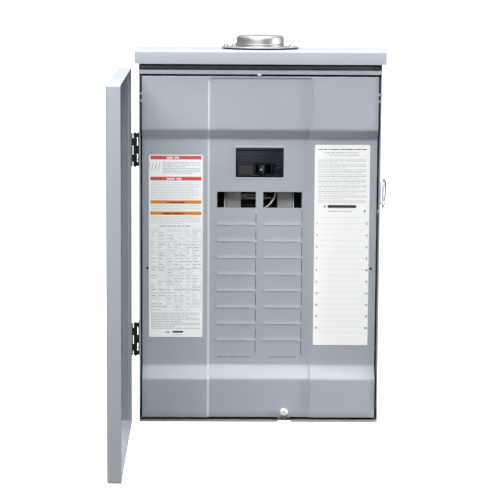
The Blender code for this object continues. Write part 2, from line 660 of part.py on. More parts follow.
def build_neutral_and_ground():
    x, above = BONDING_SCREW
    bond_ends = at(x, 0.05, above), at(x, 0.08, above)
    for side, sign in (("left", -1), ("right", 1)):
        bar = block(sorted(sign * x for x in NEUTRAL_X), NEUTRAL_DEPTH, NEUTRAL_HEIGHT)
        cut = [drum(*bond_ends, BAR_HOLE, 12)] if sign > 0 else []
        part(f"{side}_neutral_bar", ALUMINIUM, bar, cut=cut)
        foot = block(sorted(sign * x for x in SUPPORT_X), SUPPORT_DEPTH, SUPPORT_HEIGHT)
        part(f"{side}_neutral_support", DARK_PLASTIC, foot)
    part("neutral_cross_strap", ALUMINIUM, block(*CROSS_STRAP), cut=[drum(*bond_ends, BAR_HOLE, 12)])
    seat = at(x, NEUTRAL_DEPTH[0] - WASHER_GAP, above)
    hex_screw("bonding_screw", GREEN_SCREW, seat, OUT, BOND_SCREW)

    (x, behind), above = NEUTRAL_LUG_WAY, NEUTRAL_LUG_SCREW
    wire_way = drum(at(x, behind, 0.3530), at(x, behind, 0.39), 0.0068, 20)
    screw_way = drum(at(x, 0.04, above), at(x, behind, above), 0.0052, 20)
    part("neutral_lug", ALUMINIUM, block(*NEUTRAL_LUG), cut=[wire_way, screw_way])
    screw = drum(at(x, 0.0484, above), at(x, 0.0585, above), 0.0049, 20)
    socket = drum(at(x, 0.04, above), at(x, 0.0530, above), 0.0025, 6)
    part("neutral_lug_screw", ZINC, screw, cut=[socket])

    # A bent jumper from behind the main breaker down towards the middle of the bus.
    knots = [at(*JUMPER_START)]
    x, behind, above = JUMPER_BEND
    wide, deep, tall = JUMPER_SWEEP
    for step in range(9):
        turn = radians(90 * step / 8)
        knots.append(at(x + wide * cos(turn), behind + deep * sin(turn), above - tall * sin(turn)))
    wire("bus_jumper", TINNED, knots, JUMPER_RADIUS, at(x + wide, behind, above))

    holes = [drum(at(x, 0.07, above), at(x, 0.1, above), BAR_HOLE, 12) for x, above in GROUND_SCREWS]
    part("ground_bar", ALUMINIUM, block(*GROUND_BAR), cut=holes)
    for number, (x, above) in enumerate(GROUND_SCREWS, 1):
        seat = at(x, GROUND_BAR[1][0] - WASHER_GAP, above)
        hex_screw(f"ground_bar_screw_{number}", ZINC, seat, OUT, GROUND_SCREW)


def build_door():
    pivot = axis_empty("door_hinge_axis", at(*HINGE_AXIS, 0.270))
    near = DOOR_FREE_EDGE + COVER_STEEL / 2
    far = DOOR_HINGE_EDGE - COVER_STEEL / 2
    face = DOOR_OUTER_X + COVER_STEEL / 2
    low = at(face, near, DOOR_LOW + COVER_STEEL / 2)
    high = at(face, far, DOOR_HIGH - COVER_STEEL / 2)
    pan = plate(low, high, "X")
    skirted(pan, list(pan.edges), Vector((DOOR_RIM_X - face, 0, 0)))
    part("door_panel", PAINT, pan, wall=COVER_STEEL, soft=0.0022, origin=pivot.location.copy(), pivot=pivot)

    x, behind = HINGE_AXIS
    for level, low in HINGE_LOWS.items():
        build_hinge(level, low, x, behind, pivot)


def build_hinge(level, low, x, behind, pivot):
    """One hinge: a leaf on the box side with three knuckles, one on the door with two, and a pin."""
    top = low + HINGE_HEIGHT
    bands = [low, *[low + above for above in KNUCKLE_TOPS], top]
    bore = drum(at(x, behind, low - 0.01), at(x, behind, top + 0.01), PIN_RADIUS + PIN_GAP, 16)
    spans = [(bands[i] + (CLEARANCE if i else 0), bands[i + 1] - (CLEARANCE if i < 4 else 0)) for i in range(5)]

    plate_x = (-HALF - CLEARANCE - LEAF, -HALF - CLEARANCE)
    leaf = block(plate_x, (behind + 0.0012, BOX_LEAF_BACK), (low, top))
    joined = []
    for start, end in (spans[0], spans[2], spans[4]):
        joined.append(drum(at(x, behind, start), at(x, behind, end), KNUCKLE_RADIUS, 20))
        joined.append(block((x + 0.0003, plate_x[1]), (behind + 0.0014, behind + 0.0028), (start, end)))
    part(f"{level}_hinge_box_leaf", BLACK_STEEL, leaf, joined=joined, cut=[bore])

    plate_y = (DOOR_HINGE_EDGE + CLEARANCE, DOOR_HINGE_EDGE + CLEARANCE + LEAF)
    leaf = block((DOOR_OUTER_X + DOOR_LEAF_INSET, DOOR_RIM_X + DOOR_LEAF_STAND), plate_y, (low, top))
    joined = []
    for start, end in (spans[1], spans[3]):
        joined.append(drum(at(x, behind, start), at(x, behind, end), KNUCKLE_RADIUS, 20))
        joined.append(block((DOOR_RIM_X, x), (plate_y[0], plate_y[1] + 0.0008), (start, end)))
    bore = drum(at(x, behind, low - 0.01), at(x, behind, top + 0.01), PIN_RADIUS + PIN_GAP, 16)
    part(f"{level}_hinge_door_leaf", BLACK_STEEL, leaf, joined=joined, cut=[bore],
         origin=at(x, behind, (low + top) / 2), pivot=pivot)

    pin = drum(at(x, behind, low - PIN_STAND), at(x, behind, top + PIN_STAND), PIN_RADIUS, 16)
    part(f"{level}_hinge_pin", BLACK_STEEL, pin)


def build_hasp():
    x, behind = HASP_AXIS
    span = [behind + offset for offset in BRACKET_BEHIND]
    bracket = block((HALF + CLEARANCE, HALF + CLEARANCE + STEEL), span, BRACKET_HEIGHT)
    half = BRACKET_EAR_HALF
    joined = []
    for low in BRACKET_EARS:
        ear = (low, low + BRACKET_EAR)
        joined.append(block((HALF + 0.001, x + half), (behind - half, behind + half), ear))
    bore = drum(at(x, behind, 0.32), at(x, behind, 0.38), HASP_WIRE_RADIUS + CLEARANCE, 16)
    part("hasp_bracket", ZINC, bracket, joined=joined, cut=[bore])

    # A closed loop: a straight rod in the bracket and a bow that is fuller at its top.
    middle = (HASP_LOW + HASP_HIGH) / 2
    half = (HASP_HIGH - HASP_LOW) / 2
    pivot = axis_empty("hasp_axis", at(x, behind, middle))
    lean = Matrix.Rotation(HASP_REST_TURN, 3, "Z")
    points = []
    steps = 14
    for step in range(steps + 1):
        turn = radians(90 - 180 * step / steps)
        rise = sin(turn)
        reach = HASP_REACH * cos(turn) ** 0.8 * (1 + 0.25 * rise)
        points.append(pivot.location + lean @ Vector((0, max(reach, 0), 0)) + UP * half * rise)
    wire("padlock_hasp", ZINC, points, HASP_WIRE_RADIUS, pivot.location.copy(), pivot=pivot, closed=True)


build_enclosure()
build_closing_cap()
build_dead_front()
build_interior()
build_main_breaker()
build_neutral_and_ground()
build_door()
build_hasp()
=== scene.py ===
"""Looks of an outdoor residential load center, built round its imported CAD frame.

Places come from the frame: X from the middle line, `behind` from the plane of the front rim and
`above` from the bottom edge of the box, all in metres.
"""

import json
import random
from math import cos, hypot, pi, radians, sin, sqrt

import bmesh
import bpy
from mathutils import Matrix, Vector


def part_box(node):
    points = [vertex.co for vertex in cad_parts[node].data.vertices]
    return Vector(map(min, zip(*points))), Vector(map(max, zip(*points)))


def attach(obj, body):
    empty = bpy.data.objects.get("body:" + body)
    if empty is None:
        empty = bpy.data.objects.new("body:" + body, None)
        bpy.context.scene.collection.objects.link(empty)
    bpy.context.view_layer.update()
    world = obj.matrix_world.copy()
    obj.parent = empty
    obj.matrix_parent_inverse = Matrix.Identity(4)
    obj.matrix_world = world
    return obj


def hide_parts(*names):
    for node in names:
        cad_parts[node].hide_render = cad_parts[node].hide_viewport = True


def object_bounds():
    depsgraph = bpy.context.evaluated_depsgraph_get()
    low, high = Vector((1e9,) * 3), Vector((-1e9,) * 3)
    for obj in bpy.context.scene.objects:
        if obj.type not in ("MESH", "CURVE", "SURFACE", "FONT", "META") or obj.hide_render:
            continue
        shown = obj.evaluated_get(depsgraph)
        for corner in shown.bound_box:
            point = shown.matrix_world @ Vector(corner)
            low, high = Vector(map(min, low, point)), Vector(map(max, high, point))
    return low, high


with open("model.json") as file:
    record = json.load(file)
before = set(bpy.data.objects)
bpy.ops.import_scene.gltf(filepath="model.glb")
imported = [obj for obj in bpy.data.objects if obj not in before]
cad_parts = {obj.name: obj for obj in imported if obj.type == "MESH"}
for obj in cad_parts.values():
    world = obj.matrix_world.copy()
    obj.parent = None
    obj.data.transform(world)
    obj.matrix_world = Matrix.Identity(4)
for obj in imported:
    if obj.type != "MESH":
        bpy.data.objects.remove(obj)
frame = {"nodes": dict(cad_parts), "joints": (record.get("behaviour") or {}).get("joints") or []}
cad_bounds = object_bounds()

BOX_LOW, BOX_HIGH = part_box("back_box")
DEPTH = BOX_HIGH.y - BOX_LOW.y
HALF = BOX_HIGH.x
UP = Vector((0, 0, 1))
OUT = Vector((0, -1, 0))

STEEL = 0.0015
COVER_STEEL = 0.0012

# Knockouts, as the radii of their sheared rings
SMALL_KNOCKOUT = (0.0143, 0.0111)
LARGE_KNOCKOUT = (0.0206, 0.0174, 0.0143)

# Box: holes as (x, above), and cuts as spans behind the rim and above the bottom edge
WALL_HOLE = 0.0035
WALL_HOLES = ((0, 0.520), (-0.130, 0.035), (0.130, 0.035))
SCREW_HOLE = 0.0022
SCREW_HOLES = ((-0.0852, 0.094), (0.0852, 0.094), (-0.0852, 0.468), (0.0852, 0.468),
               (-0.155, 0.072), (-0.155, 0.158), (0.1010, 0.0890))
CORNER_RELIEF = ((-0.01, 0.0012), (-0.01, 0.0215))
DOOR_RELIEF = 0.0046
DOOR_RELIEF_LOW = 0.5362
SIDE_KNOCKOUTS_BEHIND = 0.056
BACK_KNOCKOUTS_ABOVE = 0.415
BOTTOM_KNOCKOUTS_BEHIND = 0.050
BOTTOM_NOTCH = ((0.0296, 0.0494), (-0.003, 0.0120), (-0.003, 0.01))
HEADER_FACE = 0.0080
STRIP_FACE = -0.00105
STRIP_TOP = 0.53525
# Two dark rubber strips in the groove under the hood: drawn as seals, they also paint the shade of the groove
SEAL_SHADE_BANDS = ((0.5354, 0.5368), (0.5412, 0.5446))

# Conduit opening in the hood and its closing cap
HUB_OPENING_RADIUS = 0.0318
CAP_SCREWS = ("left", "right", "rear")
CAP_WALL = 0.0012

# Dead front: the two small holes are right and left of the middle line
CATCH_HOLE = (0.1693, 0.2343)
CATCH_HOLE_RADIUS = 0.0019
SKIRT_NOTCH = ((0.0270, 0.0510), (0.0058, 0.0300), (0.0, 0.0120))
FRONT_SCREW_HOLE = 0.0030
HOOK_MIDDLES = (0.4895, 0.4998)

# Main breaker: its face in the window, the handle's way and the bays over its lugs
BREAKER_FACE = ((-0.0353, 0.0353), (0.3735, 0.4167))
HANDLE_WAY = ((-0.0075, 0.0235), (0.0100, 0.0500))
LUG_BAY = ((0.0090, 0.0330), (0.0200, 0.0510), (0.4420, 0.4800))

# Camera, as the object was seen
CAMERA_PLACE = Vector((-0.0668, -3.2326, 0.4656))
CAMERA_YAW = radians(0.96)
CAMERA_PITCH = radians(-8.525)
CAMERA_ROLL = radians(0.37)
CAMERA_LENS = 151.75


def at(x, behind, above):
    """A point from the middle line, the plane of the front rim and the bottom edge of the box."""
    return Vector((x, BOX_LOW.y + behind, BOX_LOW.z + above))


def spans(node):
    """A CAD node's spans across, behind the rim and above the bottom edge."""
    low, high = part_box(node)
    return (low.x, high.x), (low.y - BOX_LOW.y, high.y - BOX_LOW.y), (low.z - BOX_LOW.z, high.z - BOX_LOW.z)


def middle_of(node):
    low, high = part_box(node)
    return (low + high) / 2


def joint_axis(name):
    return Vector(next(joint for joint in frame["joints"] if joint["name"] == name)["pos_m"])


# ---------------------------------------------------------------- materials

class Shader:
    """A node-based surface: a Principled shader and short ways to feed it."""

    def __init__(self, name, colour, roughness, metallic=0.0):
        self.material = bpy.data.materials.new(name)
        self.material.use_nodes = True
        self.tree = self.material.node_tree
        self.surface = self.tree.nodes["Principled BSDF"]
        self.surface.inputs["Metallic"].default_value = metallic
        self.surface.inputs["Roughness"].default_value = roughness
        self.colour = colour
        self.place = self.node("ShaderNodeTexCoord").outputs["Object"]

    def node(self, kind, **settings):
        made = self.tree.nodes.new(kind)
        for key, value in settings.items():
            setattr(made, key, value)
        return made

    def link(self, source, target):
        self.tree.links.new(source, target)

    def stretched(self, scale):
        mapping = self.node("ShaderNodeMapping")
        self.link(self.place, mapping.inputs["Vector"])
        mapping.inputs["Scale"].default_value = scale
        return mapping.outputs["Vector"]

    def noise(self, scale, detail=3.0, stretch=(1, 1, 1)):
        made = self.node("ShaderNodeTexNoise")
        self.link(self.stretched(stretch), made.inputs["Vector"])
        made.inputs["Scale"].default_value = scale
        made.inputs["Detail"].default_value = detail
        made.inputs["Roughness"].default_value = 0.55
        return made.outputs["Fac"]

    def ranged(self, value, low, high, start=0.3, end=0.7):
        made = self.node("ShaderNodeMapRange")
        self.link(value, made.inputs["Value"])
        made.inputs["From Min"].default_value = start
        made.inputs["From Max"].default_value = end
        made.inputs["To Min"].default_value = low
        made.inputs["To Max"].default_value = high
        return made.outputs["Result"]

    def tinted(self, value, low, high):
        """Base colour between two multiples of the surface's colour."""
        ramp = self.node("ShaderNodeValToRGB")
        self.link(value, ramp.inputs["Fac"])
        ramp.color_ramp.elements[0].position = 0.3
        ramp.color_ramp.elements[1].position = 0.7
        for element, share in zip(ramp.color_ramp.elements, (low, high)):
            tint = share if isinstance(share, tuple) else (share,) * 3
            element.color = (*[c * t for c, t in zip(self.colour, tint)], 1)
        self.link(ramp.outputs["Color"], self.surface.inputs["Base Color"])

    def rough(self, value, low, high):
        self.link(self.ranged(value, low, high), self.surface.inputs["Roughness"])

    def bump(self, value, distance, strength=1.0):
        made = self.node("ShaderNodeBump")
        made.inputs["Distance"].default_value = distance
        made.inputs["Strength"].default_value = strength
        self.link(value, made.inputs["Height"])
        before = self.surface.inputs["Normal"].links
        if before:
            self.link(before[0].from_socket, made.inputs["Normal"])
        self.link(made.outputs["Normal"], self.surface.inputs["Normal"])


def powder_coat():
    look = Shader("powder_coat", (0.385, 0.415, 0.450), 0.36)
    look.tinted(look.noise(9, 4), 0.965, (1.03, 1.028, 1.02))
    look.rough(look.noise(60, 3), 0.31, 0.42)
    look.bump(look.noise(900, 2), 0.00012, 0.35)
    look.bump(look.noise(7, 2), 0.0030, 0.06)
    return look.material


def galvanised():
    look = Shader("galvanised", (0.60, 0.61, 0.62), 0.32, 1.0)
    spangle = look.node("ShaderNodeTexVoronoi")
    look.link(look.place, spangle.inputs["Vector"])
    spangle.inputs["Scale"].default_value = 210
    grey = look.node("ShaderNodeRGBToBW")
    look.link(spangle.outputs["Color"], grey.inputs["Color"])
    look.tinted(grey.outputs["Val"], 0.80, 1.18)
    look.rough(grey.outputs["Val"], 0.24, 0.42)
    look.bump(look.noise(420, 3), 0.00008, 0.4)
    return look.material


def satin():
    """Pressed steel with a soft, nearly even grey shine."""
    look = Shader("satin_steel", (0.42, 0.425, 0.43), 0.46, 1.0)
    look.tinted(look.noise(60, 3), 0.95, 1.05)
    look.rough(look.noise(140, 3), 0.42, 0.52)
    look.bump(look.noise(300, 2), 0.00004, 0.3)
    return look.material


def plated(name, colour, roughness, grain=(1, 1, 1), metallic=1.0):
    """Zinc, tin or bare metal with a fine drawn or rolled grain."""
    look = Shader(name, colour, roughness, metallic)
    streaks = look.noise(260, 4, grain)
    look.tinted(look.noise(35, 3), 0.86, 1.10)
    look.rough(streaks, roughness * 0.75, roughness * 1.35)
    look.bump(streaks, 0.00006, 0.5)
    return look.material


def moulded(name, colour, roughness, sheen=0.0):
    """Moulded plastic or dipped steel with a fine matt texture."""
    look = Shader(name, colour, roughness)
    look.tinted(look.noise(45, 4), 0.80, 1.30)
    look.rough(look.noise(150, 3), roughness * 0.8, roughness * 1.2)
    look.bump(look.noise(1100, 2), 0.00008, 0.5)
    look.surface.inputs["Coat Weight"].default_value = sheen
    look.surface.inputs["Specular IOR Level"].default_value = 0.3
    return look.material


def paper():
    look = Shader("label_paper", (0.955, 0.96, 0.95), 0.42)
    look.tinted(look.noise(25, 4), 0.975, 1.01)
    look.rough(look.noise(90, 3), 0.34, 0.50)
    look.bump(look.noise(650, 4), 0.00004, 0.5)
    return look.material


def ink(name, colour):
    look = Shader(name, colour, 0.42)
    look.tinted(look.noise(500, 4), 0.90, 1.08)
    look.rough(look.noise(200, 2), 0.36, 0.50)
    return look.material


PAINT = powder_coat()
GALVANISED = galvanised()
SATIN = satin()
ZINC = plated("zinc_plate", (0.80, 0.81, 0.84), 0.24)
TINNED = plated("tinned_copper", (0.90, 0.90, 0.90), 0.36, (1, 1, 0.08), 0.10)
BUS_METAL = plated("bus_metal", (0.55, 0.55, 0.55), 0.34, (1, 1, 0.08))
BRIGHT_ZINC = plated("bright_zinc", (0.95, 0.95, 0.97), 0.30, (1, 1, 1), 0.35)
DULL_WIRE = plated("dull_wire", (0.30, 0.31, 0.33), 0.45, (1, 1, 1), 0.5)
ALUMINIUM = plated("aluminium", (0.78, 0.79, 0.80), 0.32, (1, 1, 0.05))
BLACK_STEEL = moulded("black_steel", (0.020, 0.021, 0.023), 0.38, 0.2)
BLACK_PLASTIC = moulded("black_plastic", (0.0060, 0.0085, 0.0130), 0.34)
DARK_PLASTIC = moulded("dark_plastic", (0.0060, 0.0065, 0.0080), 0.55)
BREAKER_GREY = moulded("breaker_grey", (0.0130, 0.0180, 0.0270), 0.34)
RUBBER = moulded("rubber", (0.03, 0.03, 0.03), 0.75)
GREEN_SCREW = plated("green_screw", (0.06, 0.34, 0.14), 0.32)
PAPER = paper()
INK = ink("ink_black", (0.030, 0.031, 0.034))
GREY_INK = ink("ink_grey", (0.40, 0.41, 0.42))
PALE_INK = ink("ink_pale", (0.62, 0.63, 0.63))
RED_INK = ink("ink_red", (0.72, 0.085, 0.080))
ORANGE_INK = ink("ink_orange", (0.80, 0.24, 0.028))
FACE_INK = ink("breaker_label", (0.024, 0.019, 0.015))
DIM_INK = ink("ink_dim", (0.075, 0.070, 0.062))
WHITE_INK = ink("ink_white", (0.75, 0.75, 0.72))


# ---------------------------------------------------------------- building pieces

def placed(name, data):
    """A new object in the scene."""
    obj = bpy.data.objects.new(name, data)
    bpy.context.scene.collection.objects.link(obj)
    return obj


def data_of(name, mesh):
    """Mesh data from a bmesh, which is used up."""
    data = bpy.data.meshes.new(name)
    mesh.to_mesh(data)
    mesh.free()
    return data


def piece(name, mesh, material, body="enclosure", replaces=(), sharp=35):
    """Turns a bmesh, or several as one, into a finished piece that rides on a body."""
    if isinstance(mesh, list):
        mesh = joined(*mesh)
    bmesh.ops.recalc_face_normals(mesh, faces=mesh.faces)
    finished(placed(name, data_of(name, mesh)), material, body, replaces, sharp)


def finished(obj, material, body="enclosure", replaces=(), sharp=35):
    """Gives an object its material and shading, and the body and CAD nodes it stands for."""
    dressed(obj, material, sharp)
    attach(obj, body)
    if replaces:
        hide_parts(*replaces)


def dressed(obj, material, sharp=35):
    obj.data.materials.clear()
    obj.data.materials.append(material)
    obj.data.shade_smooth()
    obj.data.set_sharp_from_angle(angle=radians(sharp))


def joined(*meshes):
    """Several bmeshes as one."""
    whole = bmesh.new()
    for mesh in meshes:
        data = data_of("part", mesh)
        whole.from_mesh(data)
        bpy.data.meshes.remove(data)
    return whole


def block(x, behind, above, edge=0.0, steps=2):
    """A box with its edges rounded."""
    low, high = at(x[0], behind[0], above[0]), at(x[1], behind[1], above[1])
    mesh = bmesh.new()
    size = Matrix.Diagonal((*(high - low), 1))
    bmesh.ops.create_cube(mesh, size=1, matrix=Matrix.Translation((low + high) / 2) @ size)
    if edge:
        bmesh.ops.bevel(mesh, geom=mesh.edges[:], offset=edge, segments=steps, profile=0.5, affect="EDGES")
    return mesh


def circle(steps):
    """The angles of evenly spaced points round a circle."""
    return [2 * pi * step / steps for step in range(steps)]


def turning(axis):
    """The rotation that takes up to an axis."""
    return UP.rotation_difference(axis).to_matrix().to_4x4()


def lathe(profile, centre, axis=UP, steps=32):
    """A closed turned solid: (radius, height) points from the axis out and back to it."""
    mesh = bmesh.new()
    rings = []
    for radius, height in profile:
        if radius < 1e-7:
            rings.append([mesh.verts.new((0, 0, height))])
            continue
        rings.append([mesh.verts.new((radius * cos(t), radius * sin(t), height)) for t in circle(steps)])
    for first, second in zip(rings, rings[1:]):
        for step in range(steps):
            after = (step + 1) % steps
            corners = [first[step % len(first)], first[after % len(first)],
                       second[after % len(second)], second[step % len(second)]]
            unique = list(dict.fromkeys(corners))
            if len(unique) > 2:
                mesh.faces.new(unique)
    if len(rings[0]) > 1 and profile[0] == profile[-1]:
        bmesh.ops.remove_doubles(mesh, verts=mesh.verts, dist=1e-7)
    bmesh.ops.transform(mesh, matrix=Matrix.Translation(centre) @ turning(axis), verts=mesh.verts)
    return mesh


def drum(start, end, radius, edge=0.0, steps=32):
    """A cylinder between two points with its rims rounded."""
    length = (end - start).length
    profile = [(0, 0), (radius - edge, 0), (radius, edge), (radius, length - edge), (radius - edge, length),
               (0, length)]
    if not edge:
        profile = [(0, 0), (radius, 0), (radius, length), (0, length)]
    return lathe(profile, start, end - start, steps)


def tube(points, radius, sides=12, closed=False):
    """A round rod along points, with its frame carried along."""
    mesh = bmesh.new()
    count = len(points)
    rings = []
    side = None
    for index, point in enumerate(points):
        before = points[index - 1] if closed or index else point
        after = points[(index + 1) % count] if closed or index + 1 < count else point
        along = (after - before).normalized()
        if side is None:
            side = along.orthogonal().normalized()
        side = (side - along * side.dot(along)).normalized()
        other = along.cross(side)
        rings.append([mesh.verts.new(point + radius * (side * cos(t) + other * sin(t)))
                      for t in circle(sides)])
    pairs = list(zip(rings, rings[1:] + rings[:1] if closed else rings[1:]))
    for first, second in pairs:
        shift = 0
        if closed and second is rings[0]:
            shift = min(range(sides), key=lambda s: (first[0].co - second[s].co).length)
        for step in range(sides):
            after = (step + 1) % sides
            mesh.faces.new((first[step], first[after], second[(after + shift) % sides],
                            second[(step + shift) % sides]))
    if not closed:
        mesh.faces.new(rings[0])
        mesh.faces.new(rings[-1])
    return mesh


def rounded_path(corners, radius, steps=5):
    """A 2-D path with each inner corner turned into an arc."""
    points = [Vector(corners[0])]
    for before, corner, after in zip(corners, corners[1:], corners[2:]):
        corner = Vector(corner)
        into, away = (corner - Vector(before)).normalized(), (Vector(after) - corner).normalized()
        half = into.angle(away) / 2
        cut = radius * sin(half) / cos(half)
        start, end = corner - into * cut, corner + away * cut
        for step in range(steps + 1):
            share = step / steps
            points.append((1 - share) ** 2 * start + 2 * share * (1 - share) * corner + share**2 * end)
    points.append(Vector(corners[-1]))
    return points


def folded(corners, wall, radius, place, run):
    """A sheet folded along a 2-D path and swept along run; place turns (a, b) into a point."""
    centre = rounded_path([Vector(c) for c in corners], radius)
    sides = ([], [])
    for index, point in enumerate(centre):
        before = centre[max(index - 1, 0)]
        after = centre[min(index + 1, len(centre) - 1)]
        along = (after - before).normalized()
        normal = Vector((-along.y, along.x))
        sides[0].append(point + normal * wall / 2)
        sides[1].append(point - normal * wall / 2)
    outline = sides[0] + sides[1][::-1]
    mesh = bmesh.new()
    ends = [[mesh.verts.new(place(*p) + shift) for p in outline] for shift in (Vector(), run)]
    count = len(outline)
    for step in range(count):
        after = (step + 1) % count
        mesh.faces.new((ends[0][step], ends[0][after], ends[1][after], ends[1][step]))
    half = len(centre)
    for end in ends:
        for step in range(half - 1):
            mesh.faces.new((end[step], end[step + 1], end[count - 2 - step], end[count - 1 - step]))
    return mesh


def pan(low, high, open_sides, radius, steps=4):
    """The outer skin of a folded tray between two corners: a rounded box without its open sides."""
    middle = (low + high) / 2
    mesh = bmesh.new()
    size = Matrix.Diagonal((*(high - low), 1))
    bmesh.ops.create_cube(mesh, size=1, matrix=Matrix.Translation(middle) @ size)
    gone = [f for f in mesh.faces if any(f.normal.dot(side) > 0.9 for side in open_sides)]
    bmesh.ops.delete(mesh, geom=gone, context="FACES")
    inner = [e for e in mesh.edges if not e.is_boundary]
    bmesh.ops.bevel(mesh, geom=inner, offset=radius, segments=steps, profile=0.5, affect="EDGES")
    bmesh.ops.recalc_face_normals(mesh, faces=mesh.faces)
    if sum(f.normal.dot(f.calc_center_median() - middle) for f in mesh.faces) < 0:
        bmesh.ops.reverse_faces(mesh, faces=mesh.faces)
    return mesh


def mesh_of(mesh, modifiers=(), cut=(), within=()):
    """The bmesh after some modifiers, kept only within some shapes, and with others cut away."""
    obj = placed("work", data_of("work", mesh))
    for kind, settings in modifiers:
        modifier = obj.modifiers.new(kind, kind)
        for key, value in settings.items():
            setattr(modifier, key, value)
    tools = []
    for operation, shapes in (("INTERSECT", within), ("DIFFERENCE", cut)):
        for shape in shapes:
            bmesh.ops.recalc_face_normals(shape, faces=shape.faces)
            tools.append(placed("work", data_of("work", shape)))
            modifier = obj.modifiers.new("cut", "BOOLEAN")
            modifier.operation = operation
            modifier.solver = "EXACT"
            modifier.object = tools[-1]
    result = bmesh.new()
    result.from_object(obj, bpy.context.evaluated_depsgraph_get())
    for used in [obj, *tools]:
        bpy.data.objects.remove(used)
    return result


def sheet_of(mesh, wall, cut=()):
    thick = ("SOLIDIFY", {"thickness": wall, "offset": -1, "use_even_offset": True})
    return mesh_of(mesh, [thick], cut)


def ring_groove(centre, axis, radius, width=0.0007, depth=0.0005, steps=48):
    """Cutter for the sheared outline of a knockout."""
    profile = [(radius - width / 2, -depth), (radius + width / 2, -depth), (radius + width / 2, 0.002),
               (radius - width / 2, 0.002), (radius - width / 2, -depth)]
    return lathe(profile, centre, axis, steps)


def knockout(centre, axis, radii):
    return [ring_groove(centre, axis, radius) for radius in radii]


# ---------------------------------------------------------------- fasteners

def hex_head(seat, out, across, tall, washer):
    """A slotted hex-washer head standing on seat."""
    radius = across / 2 / cos(radians(30))
    head = bmesh.new()
    bmesh.ops.create_cone(head, cap_ends=True, segments=6, radius1=radius, radius2=radius, depth=tall,
                          matrix=Matrix.Translation((0, 0, tall / 2)))
    bmesh.ops.recalc_face_normals(head, faces=head.faces)
    crown = lathe([(0, -0.001), (radius * 1.02, -0.001), (radius * 1.02, tall * 0.80),
                   (across * 0.44, tall), (0, tall)], Vector(), steps=48)
    slot = bmesh.new()
    slot_size = Matrix.Diagonal((across * 0.82, across * 0.14, tall * 0.7, 1))
    bmesh.ops.create_cube(slot, size=1, matrix=Matrix.Translation((0, 0, tall)) @ slot_size)
    result = mesh_of(head, cut=[slot], within=[crown])
    spin = Matrix.Rotation(radians(20), 4, "Z")
    bmesh.ops.transform(result, matrix=Matrix.Translation(seat) @ turning(out) @ spin, verts=result.verts)
    if washer:
        skirt = [(0, 0), (washer - 0.0002, 0), (washer, 0.0002), (washer, 0.0006), (washer - 0.0004, 0.0009),
                 (across * 0.5, 0.0012), (0, 0.0012)]
        result = joined(result, lathe(skirt, seat, out))
    return result


def shank(seat, out, radius, length, pitch=0.0009):
    """A threaded shank as a row of ridges below the seat."""
    root = radius * 0.82
    height = -length + radius
    profile = [(0, -length), (radius * 0.5, -length), (radius * 0.85, height)]
    while height + pitch < 0:
        profile += [(root, height), (radius, height + pitch / 2), (root, height + pitch)]
        height += pitch
    profile += [(root, 0.0003), (0, 0.0003)]
    return lathe(profile, seat, out, 16)


def screw_for(node, out, across, washer, shank_radius, tall=0.0032, material=ZINC):
    """The detailed screw that stands for a CAD one: its seat is where the CAD head begins."""
    low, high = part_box(node)
    length = abs((high - low).dot(out)) - tall
    seat = middle_of(node) + out * ((length + tall) / 2 - tall)
    mesh = joined(hex_head(seat, out, across, tall, washer), shank(seat, out, shank_radius, length))
    piece(f"{node}_detail", mesh, material, replaces=[node], sharp=28)


# ---------------------------------------------------------------- enclosure

def build_box():
    """The wrapper: back and two sides folded from one sheet, with knockouts and mounting holes."""
    side = HALF - STEEL / 2
    back = DEPTH - STEEL / 2
    corners = [(-side, 0), (-side, back), (side, back), (side, 0)]
    top = spans("back_box")[2][1]
    shell = folded(corners, STEEL, 0.0025, lambda x, y: at(x, y, 0), UP * top)
    cut = []
    for sign in (-1, 1):
        edges = sorted((sign * (HALF - 0.003), sign * (HALF + 0.003)))
        cut.append(block(edges, *CORNER_RELIEF))
        cut.append(block(edges, (-0.01, DOOR_RELIEF), (DOOR_RELIEF_LOW, top + 0.01)))
        for above, radii in ((0.060, SMALL_KNOCKOUT), (0.118, SMALL_KNOCKOUT[1:]), (0.470, SMALL_KNOCKOUT)):
            cut += knockout(at(sign * HALF, SIDE_KNOCKOUTS_BEHIND, above), Vector((sign, 0, 0)), radii)
    for holes, radius, steps in ((WALL_HOLES, WALL_HOLE, 32), (SCREW_HOLES, SCREW_HOLE, 20)):
        for x, above in holes:
            cut.append(drum(at(x, 0.08, above), at(x, 0.11, above), radius, steps=steps))
    for x, radii in ((-0.075, SMALL_KNOCKOUT), (0.0, LARGE_KNOCKOUT), (0.075, SMALL_KNOCKOUT)):
        cut += knockout(at(x, DEPTH, BACK_KNOCKOUTS_ABOVE), -OUT, radii)
    piece("box_wrapper", mesh_of(shell, cut=cut), PAINT, replaces=["back_box"])


def build_bottom():
    (left, right), (front, back), (low, high) = spans("bottom_endwall")
    tray = pan(at(left, front, low), at(right, back, high), [UP], 0.0018)
    cut = [block(*BOTTOM_NOTCH)]
    for x, radii in ((-0.115, SMALL_KNOCKOUT), (-0.045, LARGE_KNOCKOUT), (0.100, SMALL_KNOCKOUT)):
        cut += knockout(at(x, BOTTOM_KNOCKOUTS_BEHIND, 0), -UP, radii)
    piece("bottom_tray", sheet_of(tray, STEEL, cut), PAINT, replaces=["bottom_endwall"])


def build_header():
    (left, right), _, (low, high) = spans("top_header")
    path = [(HEADER_FACE, high), (HEADER_FACE, STRIP_TOP), (STRIP_FACE, STRIP_TOP), (STRIP_FACE, low)]
    strip = folded(path, STEEL, 0.0014, lambda y, z: at(left, y, z), Vector((right - left, 0, 0)))
    trims = [block(sorted((sign * (HALF - 0.0018), sign * 0.19)), (-0.0003, 0.02), (0.52, 0.57))
             for sign in (-1, 1)]
    piece("header_strip", mesh_of(strip, cut=trims), PAINT, replaces=["top_header"])
    # Dark rubber strips in the groove are drawn as seals and also stand for its painted shade.
    shade_seals = [block((0.0020 - HALF, HALF - 0.0020), (0.0066, 0.0082), span) for span in SEAL_SHADE_BANDS]
    piece("header_seal_shade_strips", shade_seals, RUBBER)


